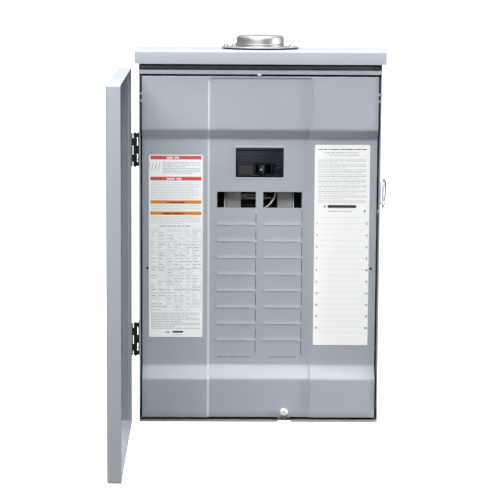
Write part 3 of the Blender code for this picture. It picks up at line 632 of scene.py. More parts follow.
def build_hood():
    (left, right), (front, back), (low, high) = spans("rain_hood")
    hood = pan(at(left, front, low), at(right, back, high), [-UP, -OUT], 0.0026)
    centre = hub_centre()
    cut = [drum(centre - UP * 0.01, centre + UP * 0.01, HUB_OPENING_RADIUS, steps=64)]
    for foot in cap_feet():
        cut.append(drum(foot - UP * 0.012, foot + UP * 0.01, 0.0024, steps=20))
    piece("hood_shell", sheet_of(hood, STEEL, cut), PAINT, replaces=["rain_hood"])
    hem, hem_height = 0.0008, low + 0.0012
    inset = STEEL + 0.0009
    hems = [tube([at(x, 0.004, hem_height), at(x, back - 0.002, hem_height)], hem)
            for x in (inset - right, right - inset)]
    ends = [at(x, front + inset, hem_height) for x in (left + 0.006, right - 0.006)]
    hems.append(tube(ends, hem))
    piece("hood_hem", hems, PAINT)


def hub_centre():
    middle = middle_of("hub_closing_cap")
    return Vector((middle.x, middle.y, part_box("rain_hood")[1].z))


def cap_feet():
    """Where the cap's screws pass through its plate."""
    plate_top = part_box("hub_closing_cap")[0].z + CAP_WALL
    middles = [middle_of(f"hub_cap_screw_{name}") for name in CAP_SCREWS]
    return [Vector((middle.x, middle.y, plate_top)) for middle in middles]


def build_cap():
    """The pressed closing cap: an oval plate with a rolled edge, and a dome with a soft shoulder."""
    low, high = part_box("hub_closing_cap")
    centre = Vector(((low.x + high.x) / 2, (low.y + high.y) / 2, low.z))
    plate, tall, wall = (high.x - low.x) / 2, high.z - low.z, CAP_WALL
    dome, shoulder, foot_bend = 0.0355, 0.0052, 0.0018
    outer = [(0, tall), (dome - 0.020, tall - 0.0001), (dome - 0.011, tall - 0.0004)]
    for step in range(9):
        turn = radians(90 * step / 8)
        outer.append((dome - shoulder + shoulder * sin(turn), tall - 0.0007 - shoulder * (1 - cos(turn))))
    outer += [(dome + 0.0002, 0.0060), (dome + 0.0008, 0.0055), (dome + 0.0002, 0.0050), (dome, 0.0040)]
    for step in range(5):
        turn = radians(90 * step / 4)
        outer.append((dome + foot_bend * (1 - cos(turn)), wall + foot_bend * (1 - sin(turn))))
    outer += [(plate - 0.0008, wall), (plate - 0.0002, wall * 0.8), (plate, wall / 2),
              (plate - 0.0002, wall * 0.2), (plate - 0.0008, 0)]
    inner = [(dome - wall, 0), (dome - wall, tall - 0.0075), (dome - 0.004, tall - 0.0030),
             (dome - 0.014, tall - 0.0018), (0, tall - wall)]
    shell = lathe(outer + inner, centre, steps=96)
    squeeze = (high.y - low.y) / (high.x - low.x)
    for vert in shell.verts:
        if hypot(vert.co.x - centre.x, vert.co.y - centre.y) > dome + 2 * foot_bend:
            vert.co.y = centre.y + (vert.co.y - centre.y) * squeeze
    cut = [drum(foot - UP * 0.01, foot + UP * 0.01, 0.0022, steps=20) for foot in cap_feet()]
    cap = mesh_of(shell, cut=cut)
    piece("closing_cap_shell", cap, SATIN, replaces=["hub_closing_cap"], sharp=40)
    for name in CAP_SCREWS:
        screw_for(f"hub_cap_screw_{name}", UP, 0.0062, 0.0, 0.0019, 0.0034)


# ---------------------------------------------------------------- dead front

class Face:
    """The formed sheet of the dead front, as a depth behind the rim at each place."""

    low_ramp = (0.0672, 0.0842)
    high_ramp = (0.4303, 0.446)
    flat = 0.0015
    recess = 0.0174
    middle_half = 0.0768
    middle_step = 0.0030
    middle_top = 0.5232
    corner = 0.0045
    crease = 0.0026
    pitch = 0.0254
    rows = 10
    top = 0.351
    inner = 0.0055
    outer = 0.0641
    slot_bottom = 0.3267
    gap = 0.0007
    lip = 0.0010
    lip_height = 0.0080
    window = ((-0.0360, 0.0360), (0.3728, 0.4174))

    @staticmethod
    def eased(value, soft=0.10):
        """A ramp from 0 to 1 with its corners rounded."""
        return 0.5 * (sqrt(value**2 + soft**2) - sqrt((value - 1) ** 2 + soft**2) + 1)

    def middle(self, x, above):
        """1 on the middle section, whose top end has round corners, and 0 on the side sections."""
        reach_x = abs(x) - (self.middle_half - self.corner)
        reach_z = above - (self.middle_top - self.corner)
        away = hypot(max(reach_x, 0), max(reach_z, 0)) + min(max(reach_x, reach_z), 0) - self.corner
        return self.eased(0.5 - away / self.crease, 0.22)

    def twistout(self, x, above):
        """How far the lower lip of a closed breaker space stands out."""
        if not self.inner <= abs(x) <= self.outer:
            return 0.0
        below = self.top - above
        row = int(below / self.pitch)
        if not 1 <= row < self.rows - 1:
            return 0.0
        over = (row + 1) * self.pitch - below
        return self.lip * max(0.0, 1 - over / self.lip_height) ** 2

    def rim(self, x, above):
        """A low raised bead round the breaker window."""
        (left, right), (low, high) = self.window
        away = max(left - x, x - right, low - above, above - high)
        if not -0.0001 <= away <= 0.0030:
            return 0.0
        return 0.0005 * sin(pi * (away + 0.0001) / 0.0031)

    def depth(self, x, above):
        low = (above - self.low_ramp[0]) / (self.low_ramp[1] - self.low_ramp[0])
        high = (self.high_ramp[1] - above) / (self.high_ramp[1] - self.high_ramp[0])
        sunk = self.eased(low) * self.eased(high)
        base = self.flat + sunk * (self.recess - self.flat)
        return base + self.middle_step * self.middle(x, above) - self.twistout(x, above) - self.rim(x, above)

    def lines_across(self, half):
        marks = {-half, half, 0.0}
        step = 0.0075
        marks.update(-half + step * i for i in range(1, int(2 * half / step)))
        for sign in (-1, 1):
            for offset in range(-6, 7):
                marks.add(sign * (self.middle_half + offset * self.crease / 8))
            for edge in (self.inner, self.outer, self.outer + self.gap, self.inner - self.gap):
                marks.add(sign * edge)
            for offset in (0.0004, 0.0012, 0.0020, 0.0029):
                marks.add(sign * (self.window[0][1] + offset))
            marks.add(sign * self.window[0][1])
        return self.thinned(marks)

    def lines_up(self, low, high):
        marks = {low, high}
        step = 0.009
        marks.update(low + step * i for i in range(1, int((high - low) / step)))
        for start, end in (self.low_ramp, self.high_ramp):
            for offset in range(-8, 25):
                marks.add(start + (end - start) * offset / 16)
        for row in range(1, self.rows + 1):
            seam = self.top - self.pitch * row
            if row == 1:
                marks.add(self.slot_bottom)
                continue
            for share in (0, 0.12, 0.25, 0.4, 0.6, 0.8, 1.0):
                marks.add(seam + self.gap / 2 + share * self.lip_height)
            marks.add(seam - self.gap / 2)
            marks.add(seam - self.gap / 2 - 0.0012)
        marks.add(self.top)
        for edge, sign in zip(self.window[1], (-1, 1)):
            for offset in (0, 0.0004, 0.0012, 0.0020, 0.0029):
                marks.add(edge + sign * offset)
        for offset in range(-8, 9):
            marks.add(self.middle_top - self.corner / 2 + offset * self.crease / 5)
        return self.thinned(marks)

    def thinned(self, marks):
        """Sorted lines without near doubles."""
        kept = []
        for mark in sorted(marks):
            if kept and mark - kept[-1] < 0.00012:
                continue
            kept.append(mark)
        return kept

    def open_at(self, x, above):
        """Whether the sheet is cut away here."""
        (left, right), (low, high) = self.window
        if left < x < right and low < above < high:
            return True
        far = abs(x)
        if self.inner < far < self.outer and self.slot_bottom < above < self.top:
            return True
        bottom = self.top - self.rows * self.pitch
        if not bottom - self.gap < above < self.slot_bottom - 0.001:
            return False
        row_share = (self.top - above) / self.pitch
        seam_distance = abs(row_share - round(row_share)) * self.pitch
        seam = seam_distance < self.gap / 2 and round(row_share) >= 2
        if seam and self.inner + 0.0045 < far < self.outer - 0.0045:
            return True
        if above < bottom or not self.side_gap(x):
            return False
        return seam_distance > 0.0035

    def side_gap(self, x):
        """The cut down the right-hand side of each column; the left-hand one is only sheared."""
        if x > 0:
            return self.outer < x < self.outer + self.gap
        return -self.inner < x < -self.inner + self.gap


def build_dead_front():
    face = Face()
    (_, right), (_, skirt), (low, high) = spans("dead_front")
    half = right - 0.0021
    bend = 0.0012
    across, up = face.lines_across(half - bend), face.lines_up(low + bend, high - bend)
    mesh = bmesh.new()
    grid = [[mesh.verts.new(at(x, face.depth(x, above), above)) for x in across] for above in up]
    for i in range(len(up) - 1):
        for j in range(len(across) - 1):
            x, above = (across[j] + across[j + 1]) / 2, (up[i] + up[i + 1]) / 2
            if not face.open_at(x, above):
                mesh.faces.new((grid[i][j], grid[i][j + 1], grid[i + 1][j + 1], grid[i + 1][j]))
    loose = [v for v in mesh.verts if not v.link_faces]
    bmesh.ops.delete(mesh, geom=loose, context="VERTS")

    def on_rim(edge):
        middle = (edge.verts[0].co + edge.verts[1].co) / 2
        x, above = middle.x, middle.z - BOX_LOW.z
        return abs(abs(x) - across[-1]) < 1e-5 or min(abs(above - up[0]), abs(above - up[-1])) < 1e-5

    rim = [e for e in mesh.edges if e.is_boundary and on_rim(e)]
    for out, back in ((0.0008, 0.0003), (0.0004, 0.0009)):
        rim = extruded(mesh, rim, out, back, across[-1], (up[0], up[-1]))
    swept = bmesh.ops.extrude_edge_only(mesh, edges=rim)["geom"]
    for item in swept:
        if isinstance(item, bmesh.types.BMVert):
            item.co.y = BOX_LOW.y + skirt
    bmesh.ops.recalc_face_normals(mesh, faces=mesh.faces)
    if sum(f.normal.y * f.calc_area() for f in mesh.faces) > 0:
        bmesh.ops.reverse_faces(mesh, faces=mesh.faces)
    (screw_left, screw_right), _, (screw_low, screw_high) = spans("dead_front_screw")
    x, above = (screw_left + screw_right) / 2, (screw_low + screw_high) / 2
    cut = [drum(at(x, -0.01, above), at(x, 0.01, above), FRONT_SCREW_HOLE), block(*SKIRT_NOTCH)]
    # Dark discs just behind the two small holes are painted shade: they keep the holes dark.
    hole_shade_discs = []
    for sign in (-1, 1):
        x, above = sign * CATCH_HOLE[0], CATCH_HOLE[1]
        cut.append(drum(at(x, 0.01, above), at(x, 0.03, above), CATCH_HOLE_RADIUS))
        behind = face.depth(x, above) + COVER_STEEL + 0.0003
        hole_shade_discs.append(drum(at(x, behind, above), at(x, behind + 0.0010, above), 0.0034))
    piece("catch_hole_painted_shade", hole_shade_discs, DARK_PLASTIC)
    sheet = sheet_of(mesh, COVER_STEEL, cut)
    piece("dead_front_sheet", sheet, PAINT, replaces=["dead_front"], sharp=40)
    hooks = []
    for sign in (-1, 1):
        for above in HOOK_MIDDLES:
            edges = sorted((sign * 0.1760, sign * 0.1791))
            hooks.append(block(edges, (0.0009, 0.0150), (above - 0.0018, above + 0.0018), 0.0005))
    piece("dead_front_hooks", hooks, PAINT)
    screw_for("dead_front_screw", OUT, 0.0084, 0.0060, 0.0021, 0.0050, BRIGHT_ZINC)


def extruded(mesh, rim, out, back, half, ups):
    """One step of the round bend between the face and the skirt."""
    swept = bmesh.ops.extrude_edge_only(mesh, edges=rim)["geom"]
    for item in swept:
        if not isinstance(item, bmesh.types.BMVert):
            continue
        x, above = item.co.x, item.co.z - BOX_LOW.z
        if abs(x) > half - 0.0002:
            item.co.x += out if x > 0 else -out
        if above < ups[0] + 0.0002:
            item.co.z -= out
        if above > ups[1] - 0.0002:
            item.co.z += out
        item.co.y += back
    return [e for e in swept if isinstance(e, bmesh.types.BMEdge)]


# ---------------------------------------------------------------- labels

PRINT_GAP = 0.00003


def label_sheet(node):
    """The paper, with its round corners; returns the depth of its printed face."""
    mesh = block(*spans(node))
    upright = [e for e in mesh.edges if abs((e.verts[0].co - e.verts[1].co).normalized().y) > 0.9]
    bmesh.ops.bevel(mesh, geom=upright, offset=0.0022, segments=5, profile=0.5, affect="EDGES")
    piece(f"{node}_paper", mesh, PAPER, replaces=[node])
    return spans(node)[1][0] - PRINT_GAP


class Print:
    """Printed marks of one colour, as thin flat shapes just in front of the paper."""

    def __init__(self, face):
        self.face = face
        self.mesh = bmesh.new()

    def bar(self, left, right, low, high, skew=0.0):
        corners = ((left, low), (right, low), (right + skew, high), (left + skew, high))
        self.mesh.faces.new([self.mesh.verts.new(at(x, self.face, above)) for x, above in corners])

    def line(self, start, end, width):
        """A straight stroke between two (x, above) points."""
        a, b = Vector(start), Vector(end)
        side = Vector((-(b - a).y, (b - a).x)).normalized() * width / 2
        corners = (a - side, b - side, b + side, a + side)
        self.mesh.faces.new([self.mesh.verts.new(at(p.x, self.face, p.y)) for p in corners])

    def disc(self, x, above, radius, steps=24):
        self.mesh.faces.new([self.mesh.verts.new(at(x + radius * cos(t), self.face, above + radius * sin(t)))
                             for t in circle(steps)])

    def words(self, left, right, above, tall, chance, full=True):
        """One line of unreadable dashes, each as long as a word would be."""
        x = left
        end = right if full else left + (right - left) * chance.uniform(0.35, 0.9)
        while x < end - tall:
            width = min(chance.uniform(1.2, 5.5) * tall, end - x)
            self.bar(x, x + width, above, above + tall * 0.62)
            x += width + tall * 0.55

    def done(self, name, material):
        self.mesh.normal_update()
        for face in self.mesh.faces:
            if face.normal.y > 0:
                face.normal_flip()
        finished(placed(name, data_of(name, self.mesh)), material)


def build_wiring_label():
    """Four coloured headings over text lines, a ruled table and notes, all without lettering."""
    face = label_sheet("wiring_label")
    (left, right), _, _ = spans("wiring_label")
    chance = random.Random(4)
    inner_left, inner_right = left + 0.0024, right - 0.0022
    text_left, text_right = inner_left + 0.001, inner_right - 0.002
    text_pitch = 0.0024
    red, orange, grey, pale = Print(face), Print(face), Print(face), Print(face)
    white, black = Print(face - PRINT_GAP), Print(face)

    for top in (0.4055, 0.3737):
        red.bar(inner_left, inner_right, top - 0.0056, top)
        white.words(-0.1400, -0.1165, top - 0.0043, 0.0042, chance)
    for top in (0.3379, 0.3208):
        orange.bar(inner_left, inner_right, top - 0.0050, top)
    for start, above in ((-0.1395, 0.3339), (-0.1460, 0.3168)):
        black.words(start, -0.1130, above, 0.0026, chance)

    # A plain block of slanted strokes stands beside the first lines of text.
    for stroke in range(4):
        left_end = -0.1680 + 0.0050 * stroke
        grey.line((left_end, 0.3840), (left_end + 0.0030, 0.3950), 0.0008)
    for line in range(8):
        grey.words(-0.1460, text_right, 0.3955 - text_pitch * line, 0.0013, chance, line % 4 != 3)
    for first, lines in ((0.3640, 11), (0.3300, 4), (0.3125, 5)):
        short = 5 if lines > 5 else lines
        for line in range(lines):
            full = line % short != short - 1
            pale.words(text_left, text_right, first - text_pitch * line, 0.0013, chance, full)

    grey.words(-0.1510, -0.1035, 0.2980, 0.0022, chance)
    columns = [inner_left, -0.1530, -0.1400, -0.1290, -0.1205, -0.1110, -0.1010, inner_right]
    top, bottom = 0.2950, 0.1690
    rows = 29
    for row in range(rows + 1):
        above = top - (top - bottom) * row / rows
        start = columns[0] if row % 4 in (0, 1) else columns[chance.choice((0, 1, 2, 3))]
        grey.bar(start, inner_right, above - 0.00012, above + 0.00012)
        if row == rows:
            continue
        for first, second in zip(columns, columns[1:]):
            if chance.random() < 0.82:
                target = grey if chance.random() < 0.55 else pale
                target.words(first + 0.0012, second - 0.0010, above - 0.0030, 0.0017, chance,
                             chance.random() < 0.5)
    for column in columns:
        grey.bar(column - 0.00012, column + 0.00012, bottom, top)
    for above in (0.2705, 0.2337, 0.2010):
        black.bar(columns[3], inner_right, above, above + 0.0003)
    for line in range(10):
        grey.words(text_left, text_right, 0.1650 - 0.0026 * line, 0.0014, chance, line % 3 != 2)
    black.words(-0.1420, -0.1320, 0.1352, 0.0022, chance)
    black.bar(-0.1310, -0.1150, 0.1350, 0.1378)
    pale.words(-0.1330, -0.1160, 0.1318, 0.0013, chance)
    for ink_print, name, material in ((red, "red", RED_INK), (orange, "orange", ORANGE_INK),
                                      (grey, "grey", GREY_INK), (pale, "pale", PALE_INK),
                                      (white, "white", WHITE_INK), (black, "black", INK)):
        ink_print.done(f"wiring_label_{name}_print", material)


def build_directory_label():
    """Lines of text, then the circuit directory with its ruled lines and space numbers."""
    face = label_sheet("directory_label")
    (left, right), _, _ = spans("directory_label")
    chance = random.Random(9)
    black, grey, pale = Print(face), Print(face), Print(face)
    black.words(0.0885, 0.1610, 0.4155, 0.0020, chance)
    grey.words(0.0980, 0.1480, 0.4105, 0.0016, chance)
    grey.words(0.1040, 0.1520, 0.4070, 0.0013, chance)
    for line in range(26):
        above = 0.4010 - 0.0026 * line
        target = grey if line % 6 in (1, 4) else pale
        target.words(left + 0.0052, right - 0.0045, above, 0.0014, chance, line % 6 not in (2, 5))
    black.bar(0.1030, 0.1460, 0.3275, 0.3318)
    grey.disc(0.0985, 0.3297, 0.0019)
    grey.words(0.1040, 0.1400, 0.3220, 0.0014, chance)
    black.disc(0.1590, 0.3228, 0.0014, 16)
    for line in range(21):
        above = 0.3127 - 0.00885 * line
        pale.bar(left + 0.0086, right - 0.0070, above - 0.00015, above + 0.00015)
    for ink_print, name, material in ((black, "black", INK), (grey, "grey", GREY_INK),
                                      (pale, "pale", PALE_INK)):
        ink_print.done(f"directory_label_{name}_print", material)
    for space in range(1, 21):
        row = (space - 1) // 2
        x = left + 0.0044 if space % 2 else right - 0.0034
        number(f"directory_number_{space}", str(space), at(x, face, 0.3037 - 0.01782 * row - 0.0015))


def number(name, text, place):
    """A small printed number, as flat shapes."""
    made = bpy.data.curves.new(name, "FONT")
    made.body = text
    made.size = 0.0042
    made.align_x = "CENTER"
    made.resolution_u = 3
    made.fill_mode = "FRONT"
    made.offset = 0.00012
    obj = placed(name, made)
    obj.matrix_world = Matrix.Translation(place) @ Matrix.Rotation(radians(90), 4, "X")
    bpy.context.view_layer.update()
    flat = bpy.data.meshes.new_from_object(obj.evaluated_get(bpy.context.evaluated_depsgraph_get()))
    flat.transform(obj.matrix_world)
    bpy.data.objects.remove(obj)
    finished(placed(name, flat), INK)


# ---------------------------------------------------------------- main breaker

def build_breaker():
    (left, right), (front, back), (low, high) = spans("main_breaker_case")
    _, _, (handle_low, handle_high) = spans("main_breaker_handle")
    (face_left, face_right), (face_low, face_high) = BREAKER_FACE
    plate_front = front + 0.0012

    def way():
        """The recess that the handle moves in."""
        return block(*HANDLE_WAY, (handle_low - 0.0006, handle_high + 0.0006), 0.0012)

    bays = [block(sorted(sign * x for x in LUG_BAY[0]), *LUG_BAY[1:], 0.0008) for sign in (-1, 1)]
    case = block((left, right), (0.0245, back), (low, high), 0.0010)
    piece("breaker_case", mesh_of(case, cut=[way(), *bays]), BLACK_PLASTIC,
          replaces=["main_breaker_case"])
    plate = block((face_left, face_right), (plate_front, 0.0262), (face_low, face_high), 0.0006)
    piece("breaker_face", mesh_of(plate, cut=[way()]), BLACK_PLASTIC)

    # A thin raised frame runs round the face, with ribs above and a step across the middle.
    def bar(x, stand, above, edge):
        return block(x, (front + stand, plate_front + 0.0005), above, edge)

    inset, half = 0.0020, 0.0004
    bars = [bar((x - half, x + half), half, (face_low + 0.0018, face_high - 0.0052), 0.0002)
            for x in (face_left + inset, face_right - inset)]
    bars += [bar((face_left + inset, face_right - inset), half, (above - half, above + half), 0.0002)
             for above in (face_low + inset, face_high - 0.0056)]
    for rib in range(7):
        above = 0.4092 - 0.0021 * rib
        bars.append(bar((face_left + 0.0036, face_right - 0.0036), 0.0008, (above - 0.00055, above + 0.00055),
                        0.00025))
    bars += [bar(span, 0.0002, (0.3925, 0.3942), 0.0003)
             for span in ((face_left + 0.0028, -0.0085), (0.0245, face_right - 0.0028))]
    piece("breaker_face_ribs", bars, BREAKER_GREY)
    lip = block((face_left, face_right), (front + 0.0001, plate_front + 0.0005),
                (face_high - 0.0036, face_high), 0.0011, 4)
    piece("breaker_top_lip", lip, BLACK_PLASTIC)

    patch = block((face_left + 0.0036, -0.0095), (plate_front - 0.0002, plate_front + 0.0003),
                  (0.3768, 0.3915))
    piece("breaker_face_label", patch, FACE_INK)
    marks = Print(plate_front - 0.00025)
    chance = random.Random(2)
    for line in range(5):
        marks.words(face_left + 0.0046, -0.0105, 0.3892 - 0.0026 * line, 0.0010, chance, line % 2 == 0)
    for x in (0.0262, 0.0312):
        marks.words(x, x + 0.0040, 0.3880, 0.0013, chance)
    marks.done("breaker_face_print", DIM_INK)

    # Arc guards stand at both ends of the handle's way.
    heights = (handle_low - 0.0004, handle_high + 0.0004)
    guards = [block((x - half, x + half), (0.0205, 0.0300), heights, 0.0003)
              for x, half in ((0.0181, 0.0008), (0.0217, 0.0008), (-0.0065, 0.0009))]
    piece("breaker_way_guards", guards, DARK_PLASTIC)
    build_handle()


def build_handle():
    """A hub with a tapered paddle that has a rounded, ribbed tip and a pale spot on its end."""
    axis = joint_axis("breaker_throw")
    low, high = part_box("main_breaker_handle")
    tall = high.z - low.z
    lean = Matrix.Translation(axis) @ Matrix.Rotation(radians(-14), 4, "Z")
    reach = 0.0275
    halves = ((0.0, 0.0060), (0.25, 0.0052), (0.6, 0.0043), (0.85, 0.0040), (0.96, 0.0036), (1.0, 0.0028))
    outline = [(half, -0.004 - (reach - 0.004) * share) for share, half in halves]
    corners = outline + [(-x, y) for x, y in reversed(outline)]
    paddle = bmesh.new()
    bottom, top = ([paddle.verts.new((x, y, sign * tall / 2)) for x, y in corners] for sign in (-1, 1))
    paddle.faces.new(bottom[::-1])
    paddle.faces.new(top)
    count = len(corners)
    for i in range(count):
        paddle.faces.new((bottom[i], bottom[(i + 1) % count], top[(i + 1) % count], top[i]))
    rims = [e for e in paddle.edges if abs(e.verts[0].co.z - e.verts[1].co.z) < 1e-6]
    bmesh.ops.bevel(paddle, geom=rims, offset=0.0009, segments=3, profile=0.5, affect="EDGES")
    hub = drum(Vector((0, 0, -tall / 2)), Vector((0, 0, tall / 2)), 0.0070, 0.0006)
    ribs = []
    for side in (-1, 1):
        for step in range(4):
            rib = bmesh.new()
            place = Matrix.Translation((side * 0.0042, -reach + 0.0030 + 0.0016 * step, 0))
            size = Matrix.Diagonal((0.0006, 0.0007, tall * 0.8, 1))
            bmesh.ops.create_cube(rib, size=1, matrix=place @ size)
            ribs.append(rib)
    whole = joined(paddle, hub, *ribs)
    move = lean @ Matrix.Translation((0, 0, middle_of("main_breaker_handle").z - axis.z))
    bmesh.ops.transform(whole, matrix=move, verts=whole.verts)
    piece("handle_paddle", whole, BLACK_PLASTIC, body="breaker_handle",
          replaces=["main_breaker_handle"])
    spot = lathe([(0, 0), (0.0013, 0), (0.0013, 0.0002), (0.0009, 0.0004), (0, 0.0005)], Vector(), OUT, 24)
    tip = Matrix.Translation((0.0006, -reach + 0.0003, 0))
    bmesh.ops.transform(spot, matrix=move @ tip, verts=spot.verts)
    piece("handle_spot", spot, WHITE_INK, body="breaker_handle")


# ---------------------------------------------------------------- interior

def keep(node, material, edge=0.0003):
    """A CAD node that stays: its material, and small rounded edges."""
    obj = frame["nodes"][node]
    weld = obj.modifiers.new("weld", "WELD")
    weld.merge_threshold = 0.000005
    soft = obj.modifiers.new("edges", "BEVEL")
    soft.width = edge
    soft.segments = 2
    soft.limit_method = "ANGLE"
    soft.angle_limit = radians(35)
    soft.harden_normals = False
    dressed(obj, material)


def build_interior():
    for side, sign in (("left", -1), ("right", 1)):
        keep(f"{side}_bus_bar", BUS_METAL)
        keep(f"{side}_breaker_rail", BLACK_STEEL, 0.0002)
        build_strap(side, sign)
        keep(f"{side}_neutral_support", DARK_PLASTIC, 0.0008)
        build_terminal_bar(f"{side}_neutral_bar")
        keep(f"line_lug_{side}", ALUMINIUM, 0.0006)
        keep(f"line_lug_screw_{side}", ZINC, 0.0002)
        screw_for(f"load_bolt_{side}", OUT, 0.0080, 0.0, 0.0022)
    for node, material, edge in (
            ("interior_pan", GALVANISED, 0.0003), ("insulating_base", DARK_PLASTIC, 0.0010),
            ("neutral_cross_strap", ZINC, 0.0003), ("neutral_lug", ALUMINIUM, 0.0008),
            ("neutral_lug_screw", ZINC, 0.0002), ("cover_screw_bracket", GALVANISED, 0.0002),
            ("hub_gasket", RUBBER, 0.0003), ("door_catch", ZINC, 0.0003)):
        keep(node, material, edge)
    build_terminal_bar("ground_bar")
    for count in range(1, 5):
        screw_for(f"interior_pan_screw_{count}", OUT, 0.0062, 0.0, 0.0017)
    for count in (1, 2):
        screw_for(f"ground_bar_screw_{count}", OUT, 0.0066, 0.0, 0.0018)
    screw_for("bonding_screw", OUT, 0.0073, 0.0, 0.0019, material=GREEN_SCREW)
    build_jumper()
    build_base_detail()


def build_strap(side, sign):
    """The tinned strap from the main breaker: it jogs back, and its edges are rounded."""
    (left, right), (front, back), (low, high) = spans(f"load_strap_{side}")
    wall = 0.0020
    fore, rear = front + wall / 2, back - wall / 2
    lane = [(fore, high), (fore, 0.3390), (rear, 0.3190), (rear, low)]
    strap = folded(lane, wall, 0.0040, lambda y, z: at(left, y, z), Vector((right - left, 0, 0)))
    hole = drum(at(sign * 0.0390, 0.04, 0.3510), at(sign * 0.0390, 0.07, 0.3510), 0.0026)
    piece(f"load_strap_{side}_detail", mesh_of(strap, cut=[hole]), TINNED,
          replaces=[f"load_strap_{side}"])
    # Narrow edge strips of the second phase's strap stand beside it.
    outer = right if sign > 0 else left
    strips = [block(sorted((outer + sign * 0.0012, outer + sign * 0.0030)), (front - 0.0004, front + 0.0100),
                    (0.3120, 0.3690), 0.0003)]
    piece(f"phase_barrier_{side}", strips, TINNED)


BAR_SCREWS = {"right_neutral_bar": (0.0890,), "ground_bar": (0.072, 0.158)}


def build_terminal_bar(node):
    """A bar with its row of clamp screws, each over a wire hole through the bar."""
    (left, right), (front, back), (low, high) = spans(node)
    middle = (left + right) / 2
    bar = block((left, right), (front, back), (low, high), 0.0007)
    pitch = 0.0079
    count = int((high - low - 0.006) / pitch)
    taken = BAR_SCREWS.get(node, ())
    screws, cut = [], []
    for place in range(count):
        above = low + 0.005 + pitch * (place + 0.5)
        if any(abs(above - t) < 0.0062 for t in taken):
            continue
        seat = at(middle, front - 0.0002, above)
        screws.append(clamp_head(seat))
        wire = at(left - 0.001, (front + back) / 2, above)
        cut.append(drum(wire, wire + Vector((right - left + 0.002, 0, 0)), 0.0022, steps=12))
    for above in taken:
        cut.append(drum(at(middle, front - 0.01, above), at(middle, back + 0.01, above), 0.0024, steps=20))
    piece(f"{node}_detail", mesh_of(bar, cut=[joined(*cut)]), ALUMINIUM, replaces=[node])
    piece(f"{node}_clamp_screws", screws, ZINC)


def clamp_head(seat, radius=0.0028):
    """A low round head with a sunk middle."""
    profile = [(0, 0.0002), (radius * 0.30, 0.0002), (radius * 0.36, 0.0009), (radius * 0.85, 0.0009),
               (radius, 0.0005), (radius, -0.0006), (0, -0.0006)]
    return lathe(profile, seat, OUT, 16)


def build_jumper():
    """A bent wire: it comes straight down, then turns a quarter of an ellipse."""
    knots = [at(0.0250, 0.0410, 0.3710)]
    for step in range(19):
        along, down = cos(radians(90 * step / 18)), sin(radians(90 * step / 18))
        knots.append(at(-0.0010 + 0.0260 * along, 0.0410 + 0.003 * down, 0.3520 - 0.0300 * down))
    piece("jumper_wire", tube(knots, 0.0013, 14), TINNED, replaces=["bus_jumper"])


def build_base_detail():
    """Barriers on the plastic base between the breaker spaces."""
    fins = []
    for row in range(Face.rows - 1):
        above = Face.top - Face.pitch * (row + 1)
        fins.append(block((-0.0262, 0.0262), (0.0570, 0.0690), (above - 0.0010, above + 0.0010), 0.0004))
    piece("base_barriers", fins, DARK_PLASTIC)


# ---------------------------------------------------------------- door, hinges and hasp

def build_door():
    (outer, rim), (near, far), (low, high) = spans("door_panel")
    toward_box = Vector((1, 0, 0))
    tray = pan(at(outer, near, low), at(rim, far, high), [toward_box], 0.0030, 5)
    piece("door_shell", sheet_of(tray, COVER_STEEL), PAINT, body="door",
          replaces=["door_panel"], sharp=40)
    # The near flange has a rolled hem. The hinge flange has a return lip and a pressed bead.
    inner = outer + COVER_STEEL
    seat = far - COVER_STEEL

    def upright(x, behind, inset, radius, sides):
        return tube([at(x, behind, low + inset), at(x, behind, high - inset)], radius, sides)

    hem = upright(rim - 0.0010, near + COVER_STEEL + 0.0002, 0.004, 0.0004, 10)
    bead = upright(inner + 0.0030, seat + 0.0002, 0.006, 0.0009, 16)
    lip_path = [(rim - 0.0086, seat - 0.0003), (rim - 0.0066, seat - 0.0005), (rim - 0.0046, seat - 0.0044)]
    lip = folded(lip_path, 0.0008, 0.0008, lambda x, y: at(x, y, low + 0.006), UP * (high - low - 0.018))
    piece("door_hem", [hem, lip, bead], PAINT, body="door")
    pads = []
    for level in ("upper", "lower"):
        _, _, (pad_low, pad_high) = spans(f"{level}_hinge_door_leaf")
        pads.append(block((inner + 0.0045, rim - 0.0078), (seat - 0.0011, seat + 0.0002),
                          (pad_low + 0.002, pad_high - 0.002), 0.0005, 3))
    piece("hinge_backing_pads", pads, PAINT, body="door")
    for level in ("upper", "lower"):
        build_hinge(level)


def build_hinge(level):
    keep(f"{level}_hinge_box_leaf", BLACK_STEEL, 0.0003)
    keep(f"{level}_hinge_door_leaf", BLACK_STEEL, 0.0003)
    low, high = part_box(f"{level}_hinge_pin")
    radius, tall = (high.x - low.x) / 2, high.z - low.z
    middle = middle_of(f"{level}_hinge_pin")
    pin = lathe([(0, 0), (radius * 0.8, 0), (radius, 0.0004), (radius, tall - 0.0004), (radius * 0.8, tall),
                 (0, tall)], Vector((middle.x, middle.y, low.z)), steps=20)
    piece(f"{level}_pin", pin, BLACK_STEEL, replaces=[f"{level}_hinge_pin"])
    _, (_, leaf_back), (leaf_low, leaf_high) = spans(f"{level}_hinge_box_leaf")
    (door_left, _), _, _ = spans(f"{level}_hinge_door_leaf")
    heights = (leaf_low + 0.009, leaf_high - 0.009)
    box_head = [(0, 0.0010), (0.0013, 0.0008), (0.0022, 0.0002), (0.0024, -0.0002), (0, -0.0002)]
    door_head = [(0, 0.0009), (0.0013, 0.0007), (0.0021, 0.0002), (0.0023, -0.0002), (0, -0.0002)]
    rivets = [lathe(box_head, at(-HALF - 0.0018, leaf_back - 0.0075, above), Vector((-1, 0, 0)), 24)
              for above in heights]
    piece(f"{level}_box_rivets", rivets, BLACK_STEEL)
    door_seat = spans("door_panel")[1][1] + 0.0018
    rivets = [lathe(door_head, at(door_left + 0.0075, door_seat, above), -OUT, 24) for above in heights]
    piece(f"{level}_door_rivets", rivets, BLACK_STEEL, body="door")


